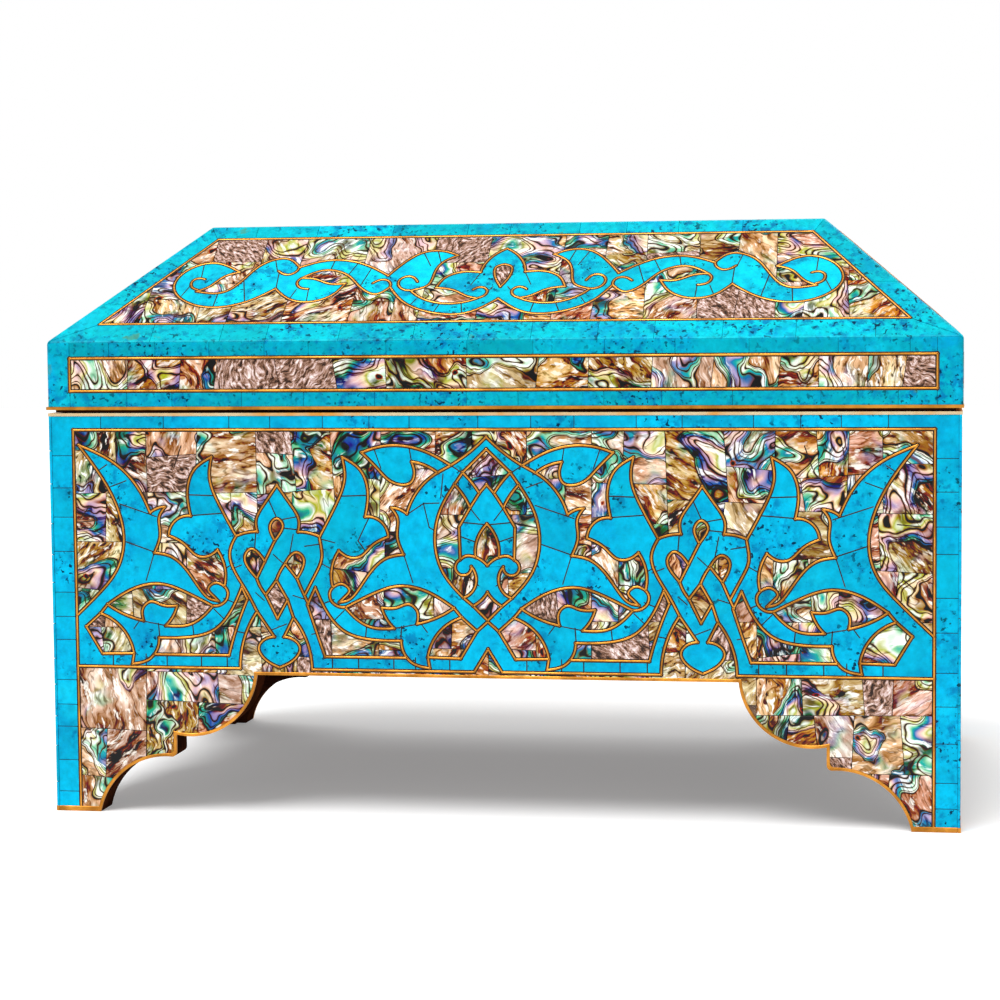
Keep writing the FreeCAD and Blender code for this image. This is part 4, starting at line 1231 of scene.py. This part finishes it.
def nacre(name, colours):
    """Sea-ear shell: streaked ground, islands of changing colour, and growth lines along their levels."""
    finish = Finish(name, Specular_IOR_Level=0.25)
    across, along, chance = finish.parts(finish.piece())
    seed = finish.math("MULTIPLY", chance, 60.0)
    spot = finish.node("CombineXYZ", {0: across, 1: along, 2: seed})
    swirl = finish.vector("SUBTRACT", finish.noise(spot, 0.8, 2.0, 0.5, "Color"), (0.5, 0.5, 0.5))
    bend = finish.math("MULTIPLY_ADD", finish.drawn_again(chance, 53.0), 1.2, 0.3)
    bend = finish.node("CombineXYZ", {0: bend, 1: bend})
    warped = finish.vector("ADD", spot, finish.vector("MULTIPLY", swirl, bend))
    streaks = finish.stretched(warped, 0.5, 2.0, 1.0)
    grain = finish.noise(streaks, 1.0, 4.0, 0.6)
    lift = finish.math("MULTIPLY", finish.math("SINE", finish.math("MULTIPLY", chance, 400.0)), 0.07)
    height = finish.noise(finish.stretched(warped, 0.75, 1.15, 1.0), 0.6, 0.9, 0.4)
    height = finish.math("ADD", height, lift)
    island = finish.step(height, 0.487, 0.493)
    line, rust = growth_lines(finish, height, spot)
    sheen = shell_sheen(finish, height, warped, streaks, seed)
    wash = finish.step(finish.noise(spot, 0.9, 2.0), 0.50, 0.66)
    ground = finish.over(shell_ground(finish, grain, spot, chance), wash, 0.5, sheen)
    colour = finish.mix(island, ground, sheen)
    shards = finish.noise(finish.stretched(warped, 2.2, 6.0, 1.0), 1.0, 2.5, 0.6)
    share = finish.math("MULTIPLY_ADD", finish.drawn_again(chance, 91.0), 0.75, 0.05)
    share = finish.math("MULTIPLY", share, finish.math("MULTIPLY_ADD", island, -0.75, 1.0))
    vein = finish.math("PINGPONG", finish.math("MULTIPLY", finish.noise(streaks, 0.55, 3.0), 6.0), 0.5)
    vein = finish.math("SUBTRACT", 1.0, finish.step(vein, 0.02, 0.10))
    for mask, amount, paint in ((finish.step(shards, 0.46, 0.36), share, DARK_SHARD),
                                (finish.step(shards, 0.56, 0.65), share, PALE_SHARD),
                                (vein, 0.5, VEIN), (rust, 0.7, RUST), (line, 0.95, DARK_LINE)):
        colour = finish.over(colour, mask, amount, paint)
    colour = shell_eyes(finish, colour, warped, seed)
    tone = finish.math("MULTIPLY_ADD", finish.drawn_again(chance, 71.0), 0.17, -0.08)
    colour = finish.node("BrightContrast", {0: colour, 1: tone, 2: 0.36})
    cork = finish.math("GREATER_THAN", chance, 1.0 - CORK_SHARE)
    crumbs = finish.ramp(finish.noise(finish.stretched(warped, 0.7, 1.5, 1.0), 5.0, 5.0, 0.7), CORK)
    finish.set(Base_Color=finish.mix(cork, colour, crumbs),
               Roughness=finish.math("MULTIPLY_ADD", grain, 0.3, 0.1))
    finish.bump(finish.math("SUBTRACT", grain, finish.math("MULTIPLY", line, 0.6)), 0.12, 0.0003)
    return finish.material


def filler(name, colours):
    """Dark resin with shell dust."""
    finish = Finish(name, Roughness=0.55)
    place = finish.place()
    dust = finish.noise(place, 1500.0, 3.0, 0.6)
    pale = finish.step(finish.noise(place, 160.0, 2.0), 0.4, 0.7)
    colour = finish.mix(pale, colours.filler, colours.filler_pale)
    colour = finish.mix(finish.step(dust, 0.58, 0.68), colour, colours.shell_dust)
    finish.set(Base_Color=colour)
    finish.bump(dust, 0.3, 0.0002)
    return finish.material


def pitch(name, colours):
    """Dark pitch that a wire was bedded in, a little uneven along its edge."""
    finish = Finish(name, Roughness=0.6, Specular_IOR_Level=0.2)
    place = finish.place()
    rub = finish.step(finish.noise(place, 260.0, 3.0, 0.6), 0.45, 0.75)
    finish.set(Base_Color=finish.mix(rub, colours.pitch, colours.filler))
    finish.bump(finish.noise(place, 800.0, 2.0), 0.2, 0.0001)
    return finish.material


def brass(name, colours):
    """Drawn brass, rubbed bright in places and browned in others."""
    finish = Finish(name, Metallic=1.0)
    place = finish.place()
    age = finish.step(finish.noise(place, 70.0, 5.0, 0.65), 0.34, 0.70)
    colour = finish.mix(age, colours.brass, colours.brass_aged)
    finish.set(Base_Color=colour, Roughness=finish.math("MULTIPLY_ADD", age, 0.2, 0.32))
    finish.bump(finish.noise(place, 900.0, 2.0), 0.15, 0.0001)
    return finish.material


def painted_reflection_brass(name, colours):
    """Brass with pale patches mixed in by a noise, smoother where pale: a painted reflection of the white
    surround.
    """
    finish = Finish(name, Metallic=1.0)
    place = finish.place()
    # Low values of this mask give the pale brass: painted reflection of the white surround.
    painted_reflection_mask = finish.step(finish.noise(place, 45.0, 4.0, 0.6), 0.40, 0.72)
    colour = finish.mix(painted_reflection_mask, colours.brass_painted_reflection, colours.brass)
    finish.set(Base_Color=colour, Roughness=finish.math("MULTIPLY_ADD", painted_reflection_mask, 0.25, 0.2))
    finish.bump(finish.noise(place, 700.0, 2.0), 0.12, 0.0001)
    return finish.material


# Scale of the wood's figure across and along the grain, and of its pores over the figure
GRAIN_ACROSS = 90.0
GRAIN_ALONG = 6.0
PORES = (6.0, 6.0, 6.0)


def wood(name, colours, along):
    """Dark oiled hardwood with the grain along one axis."""
    finish = Finish(name, Specular_IOR_Level=0.0)
    stretch = [GRAIN_ALONG if axis == along else GRAIN_ACROSS for axis in (X, Y, Z)]
    place = finish.stretched(finish.place(), *stretch)
    figure = finish.noise(place, 1.0, 5.0, 0.6)
    pores = finish.step(finish.noise(finish.vector("MULTIPLY", place, PORES), 1.0, 2.0), 0.58, 0.68)
    colour = finish.mix(finish.step(figure, 0.35, 0.68), colours.wood_dark, colours.wood)
    colour = finish.over(colour, pores, 0.6, colours.wood_pore)
    finish.set(Base_Color=colour, Roughness=finish.math("MULTIPLY_ADD", figure, 0.25, 0.32))
    finish.bump(finish.math("SUBTRACT", figure, pores), 0.15, 0.0004)
    return finish.material


# Settings that a user would change
def length_setting(name, description, default):
    return FloatProperty(name=name, description=description, default=default, unit="LENGTH",
                         subtype="DISTANCE")


def colour_setting(name, description, default):
    return FloatVectorProperty(name=name, description=description, default=default, subtype="COLOR",
                               min=0.0, max=1.0)


class CasketSizes(bpy.types.PropertyGroup):
    """Sizes of the inlay."""

    wire_width: length_setting("Wire", "Width of the brass wire", 0.00104)
    filler_width: length_setting("Filler line", "Width of the dark line under a wire", 0.00215)
    lid_joint: length_setting("Lid joint", "Gap between two stones of the lid's borders", 0.0001)
    stone_joint: length_setting("Stone joint", "Gap between two stones", 0.00026)
    shell_joint: length_setting("Shell joint", "Gap between two shell plates", 0.00024)
    stone_length: length_setting("Border stone", "Usual length of a stone in the borders", 0.0125)
    shell_tile: length_setting("Shell plate", "Usual side of a shell plate", 0.0215)
    edge_chamfer: length_setting("Rubbed edge", "Chamfer of stones and plates", 0.00012)
    corner_round: length_setting("Lid corners", "Radius of the lid's edges", 0.0025)


class CasketColours(bpy.types.PropertyGroup):
    """Colours of the materials."""

    turquoise: colour_setting("Turquoise", "Ground of the body's turquoise", (0.0, 0.415, 0.66))
    lid_turquoise: colour_setting("Lid turquoise", "Ground of the turquoise on the lid's slopes",
                                  (0.0, 0.515, 0.605))
    band_turquoise: colour_setting("Band turquoise", "Ground of the turquoise on the lid's upright band",
                                   (0.0, 0.36, 0.475))
    scroll_turquoise: colour_setting("Scroll turquoise", "Ground of the lid's scroll", (0.0, 0.58, 0.74))
    turquoise_deep: colour_setting("Deep turquoise", "Clouds in the turquoise", (0.0, 0.27, 0.53))
    turquoise_pale: colour_setting("Pale turquoise", "Light clouds in the turquoise", (0.005, 0.54, 0.74))
    turquoise_stain: colour_setting("Stain", "Blue stains in the turquoise", (0.0, 0.13, 0.34))
    turquoise_green: colour_setting("Green turquoise", "Odd greener stones", (0.0, 0.38, 0.42))
    turquoise_crust: colour_setting("Crust", "Rare green crusts in the lid's stones", (0.07, 0.26, 0.14))
    turquoise_vein: colour_setting("Vein", "Specks in the turquoise", (0.0, 0.012, 0.05))
    brass: colour_setting("Brass", "Polished brass", (0.86, 0.365, 0.055))
    brass_aged: colour_setting("Aged brass", "Browned brass", (0.42, 0.165, 0.022))
    # Pale colour of the rim's brass patches: painted reflection of the white surround.
    brass_painted_reflection: colour_setting("Bright brass", "Brass worn pale", (0.93, 0.76, 0.48))
    filler: colour_setting("Filler", "Resin between the pieces", (0.060, 0.028, 0.015))
    filler_pale: colour_setting("Pale filler", "Light clouds in the resin", (0.16, 0.085, 0.045))
    shell_dust: colour_setting("Shell dust", "Specks in the resin", (0.45, 0.32, 0.22))
    pitch: colour_setting("Pitch", "Dark line beside the wires", (0.022, 0.009, 0.004))
    wood: colour_setting("Wood", "Light figure of the wood", (0.05, 0.013, 0.005))
    wood_dark: colour_setting("Dark wood", "Dark figure of the wood", (0.014, 0.005, 0.0025))
    wood_pore: colour_setting("Pores", "Pores of the wood", (0.012, 0.006, 0.004))


# Operators, one for each group of pieces
def nodes_of(slot):
    return [part["node"] for part in frame["record"]["subparts"] if part["material_slot"] == slot]


def refinish(node, material):
    """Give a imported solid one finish."""
    mesh = frame["nodes"][node].data
    mesh.materials.clear()
    mesh.materials.append(material)


class CASKET_OT_carcass(bpy.types.Operator):
    """Finish the wooden boards of box and lid"""

    bl_idname = "casket.carcass"
    bl_label = "Wooden carcass"

    def execute(self, context):
        colours = context.scene.casket_colours
        grains = [wood("wood_along_" + axis, colours, i) for i, axis in enumerate("xy")]
        for node in nodes_of("wood"):
            refinish(node, grains[Y if "left" in node or "right" in node else X])
        return {"FINISHED"}


# Hinge screws, in millimetres; the taper and the arc are shares and points of a head
SCREW_RADIUS = 1.9
SCREW_SLOT = 0.5
SCREW_RISE = 0.11
SCREW_TAPER = 0.9
SCREW_ARC = 9
SCREW_SPACING = 14.0
LEAF_MIDDLE = 5.0


class CASKET_OT_brasswork(bpy.types.Operator):
    """Finish the brass rims and hinges, and set the hinge screws"""

    bl_idname = "casket.brasswork"
    bl_label = "Rims and hinges"

    def execute(self, context):
        colours = context.scene.casket_colours
        finish = shared("wire_brass", brass, colours)
        # The body's rim takes the brass with a painted reflection in pale patches.
        painted_reflection_rim = shared("rim_brass_painted_reflection", painted_reflection_brass, colours)
        for node in nodes_of("brass"):
            refinish(node, painted_reflection_rim if node == "body_rim" else finish)
        for body, leaf, level, out in (("box", "body_leaf", BODY_TOP, 1),
                                       ("lid", "lid_leaf", LID_BOARD_FOOT, -1)):
            heads = []
            for hand in ("left", "right"):
                node = "hinge_" + hand + "_" + leaf
                middle = (low(node, X) + high(node, X)) / 2
                for step in (-1, 0, 1):
                    points, tris = screw_head()
                    spot = np.array([middle + step * SCREW_SPACING, HALF_DEPTH - LEAF_MIDDLE, level])
                    heads.append((points * np.array([1, out, out]) + spot, tris))
            made = mesh_object("hinge_screws_" + body, [finish], *gather(heads))
            settle(made, body, "brass")
        return {"FINISHED"}


def screw_head():
    """Two low half-discs beside a straight slot: arc over a chord, raised and chamfered."""
    edge = math.asin(SCREW_SLOT / 2 / SCREW_RADIUS)
    angle = np.linspace(edge, math.pi - edge, SCREW_ARC)
    halves = []
    for sign in (-1, 1):
        outline = SCREW_RADIUS * np.column_stack([np.cos(angle), np.sin(angle)]) * sign
        middle = outline.mean(axis=0)
        count = len(outline)
        top = middle + (outline - middle) * SCREW_TAPER
        points = np.concatenate([np.column_stack([ring, np.full(count, height)])
                                 for ring, height in ((outline, 0.0), (top, SCREW_RISE))])
        k = np.arange(count)
        after = (k + 1) % count
        walls = [np.column_stack([k, after, after + count]), np.column_stack([k, after + count, k + count])]
        fan = np.array([(0, j, j + 1) for j in range(1, count - 1)])
        halves.append((points, np.concatenate(walls + [fan + count, fan[:, ::-1]])))
    return gather(halves)


# First seeds of the body's faces and of the lid's bands, slopes and top
BODY_SEED, BAND_SEED, SLOPE_SEED, TOP_SEED = 11, 31, 41, 51


class CASKET_OT_body_inlay(bpy.types.Operator):
    """Set the stones, shell, wires and bindings of the four body faces"""

    bl_idname = "casket.body_inlay"
    bl_label = "Body inlay"

    def execute(self, context):
        sizes, colours = context.scene.casket_sizes, context.scene.casket_colours
        for seed, side in enumerate(TURNS, start=BODY_SEED):
            drawing = body_drawing(side, sizes, seed)
            inlay(side, "box", [(drawing, on_body(side))], sizes, colours)
        return {"FINISHED"}


class CASKET_OT_lid_inlay(bpy.types.Operator):
    """Set the stones, shell and wires of the lid's bands, slopes and top"""

    bl_idname = "casket.lid_inlay"
    bl_label = "Lid inlay"

    def execute(self, context):
        sizes, colours = context.scene.casket_sizes, context.scene.casket_colours
        radius = sizes.corner_round / MM
        for i, side in enumerate(TURNS):
            band, slope = band_drawing(side, sizes, BAND_SEED + i), slope_drawing(side, sizes, SLOPE_SEED + i)
            faces = [(band, on_lid(side, math.pi / 2, 0.0, radius)),
                     (slope, on_lid(side, SLOPE, LID_FOLD, radius))]
            inlay("lid_" + side, "lid", faces, sizes, colours)
        top = top_drawing(sizes, TOP_SEED)
        inlay("lid_top", "lid", [(top, on_lid(None, 0.0, 0.0, radius))], sizes, colours)
        return {"FINISHED"}


# Camera, in metres and degrees, and the size of the stage
CAMERA_PLACE = (0.16800, -1.08264, 0.20056)
CAMERA_YAW = 9.690
CAMERA_PITCH = 4.317
CAMERA_ROLL = -0.524
CAMERA_LENS = 90.97
CAMERA_SENSOR = 36.0
STAGE_SIZE = 8.0
AMBIENT = 0.38
FLOOR_GLOW = 0.25
FLOOR_GREYS = ((0.78, 0.78, 0.78), (0.83, 0.83, 0.83))
WHITE = (1.0, 1.0, 1.0, 1.0)
# Lights: name, kind, place, power, and the angle of a sun or the side of an area; all look at one spot
LIGHT_AIM = (0, 0, 0.12)
LIGHTS = (("key", "SUN", (-0.45, -0.8, 1.9), 3.0, 0.7), ("fill", "AREA", (1.3, -1.3, 0.9), 3.0, 1.4),
          ("back", "AREA", (0.2, 1.4, 1.6), 14.0, 1.2))


def paper_floor():
    """Square of pale paper, two by two cells, that glows a little."""
    grid = np.linspace(-STAGE_SIZE / 2, STAGE_SIZE / 2, 3) / MM
    x, y = np.meshgrid(grid, grid)
    points = np.column_stack([x.ravel(), y.ravel(), np.zeros(x.size)])
    cell = np.array([(0, 1, 4), (0, 4, 3)])
    tris = np.concatenate([cell + start for start in (0, 1, 3, 4)])
    paper = Finish("floor_paper", Roughness=0.9, Emission_Color=WHITE, Emission_Strength=FLOOR_GLOW)
    fibre = paper.noise(paper.place(), 300.0, 3.0)
    paper.set(Base_Color=paper.mix(fibre, *FLOOR_GREYS))
    return mesh_object("floor", [paper.material], points, tris)


def studio_world():
    """White surround, bright behind the casket and softer as light on it."""
    world = bpy.data.worlds.new("studio")
    world.use_nodes = True
    nodes, links = world.node_tree.nodes, world.node_tree.links
    background = nodes["Background"]
    background.inputs["Color"].default_value = WHITE
    seen, strength = nodes.new("ShaderNodeLightPath"), nodes.new("ShaderNodeMath")
    strength.operation = "MULTIPLY_ADD"
    strength.inputs[1].default_value, strength.inputs[2].default_value = 1.0 - AMBIENT, AMBIENT
    links.new(seen.outputs["Is Camera Ray"], strength.inputs[0])
    links.new(strength.outputs[0], background.inputs["Strength"])
    return world


def lamp(name, kind, place, power, softness):
    light = bpy.data.lights.new(name, kind)
    light.energy = power
    setattr(light, "angle" if kind == "SUN" else "size", softness)
    made = bpy.data.objects.new(name, light)
    made.location = place
    made.rotation_euler = (Vector(LIGHT_AIM) - Vector(place)).to_track_quat("-Z", "Y").to_euler()
    return made


class CASKET_OT_stage(bpy.types.Operator):
    """Lay the pale floor, hang the soft lights and set up the camera"""

    bl_idname = "casket.stage"
    bl_label = "Stage"

    def execute(self, context):
        scene = context.scene
        scene.view_settings.view_transform = "Standard"
        paper_floor()
        scene.world = studio_world()
        camera = photo_camera()
        for made in [lamp(*light) for light in LIGHTS] + [camera]:
            scene.collection.objects.link(made)
        scene.camera = camera
        return {"FINISHED"}


def photo_camera():
    """Camera that stands as the photographer's did: turned by yaw, tipped by pitch, then rolled."""
    yaw, pitch, roll = (math.radians(angle) for angle in (CAMERA_YAW, CAMERA_PITCH, CAMERA_ROLL))
    ahead = Vector((-math.sin(yaw) * math.cos(pitch), math.cos(yaw) * math.cos(pitch), -math.sin(pitch)))
    level = Vector((math.cos(yaw), math.sin(yaw), 0))
    upward = level.cross(ahead)
    right = math.cos(roll) * level + math.sin(roll) * upward
    above = math.cos(roll) * upward - math.sin(roll) * level
    data = bpy.data.cameras.new("camera")
    data.lens, data.sensor_width = CAMERA_LENS, CAMERA_SENSOR
    camera = bpy.data.objects.new("camera", data)
    turn = Matrix((right, above, -ahead)).transposed().to_4x4()
    camera.matrix_world = Matrix.Translation(CAMERA_PLACE) @ turn
    return camera


class CASKET_PT_panel(bpy.types.Panel):
    """The casket's settings and the steps that dress it"""

    bl_label = "Casket"
    bl_space_type = "VIEW_3D"
    bl_region_type = "UI"
    bl_category = "Casket"

    def draw(self, context):
        for group in (context.scene.casket_sizes, context.scene.casket_colours):
            for name in group.__annotations__:
                self.layout.prop(group, name)
        for operator in OPERATORS:
            self.layout.operator(operator.bl_idname)


OPERATORS = (CASKET_OT_carcass, CASKET_OT_brasswork, CASKET_OT_body_inlay, CASKET_OT_lid_inlay,
             CASKET_OT_stage)
CLASSES = (CasketSizes, CasketColours, *OPERATORS, CASKET_PT_panel)


def register():
    for made in CLASSES:
        bpy.utils.register_class(made)
    bpy.types.Scene.casket_sizes = PointerProperty(type=CasketSizes)
    bpy.types.Scene.casket_colours = PointerProperty(type=CasketColours)


def unregister():
    del bpy.types.Scene.casket_colours
    del bpy.types.Scene.casket_sizes
    for made in reversed(CLASSES):
        bpy.utils.unregister_class(made)


def main():
    register()
    bpy.ops.casket.carcass()
    bpy.ops.casket.brasswork()
    bpy.ops.casket.body_inlay()
    bpy.ops.casket.lid_inlay()
    bpy.ops.casket.stage()


if __name__ == "__main__":
    main()
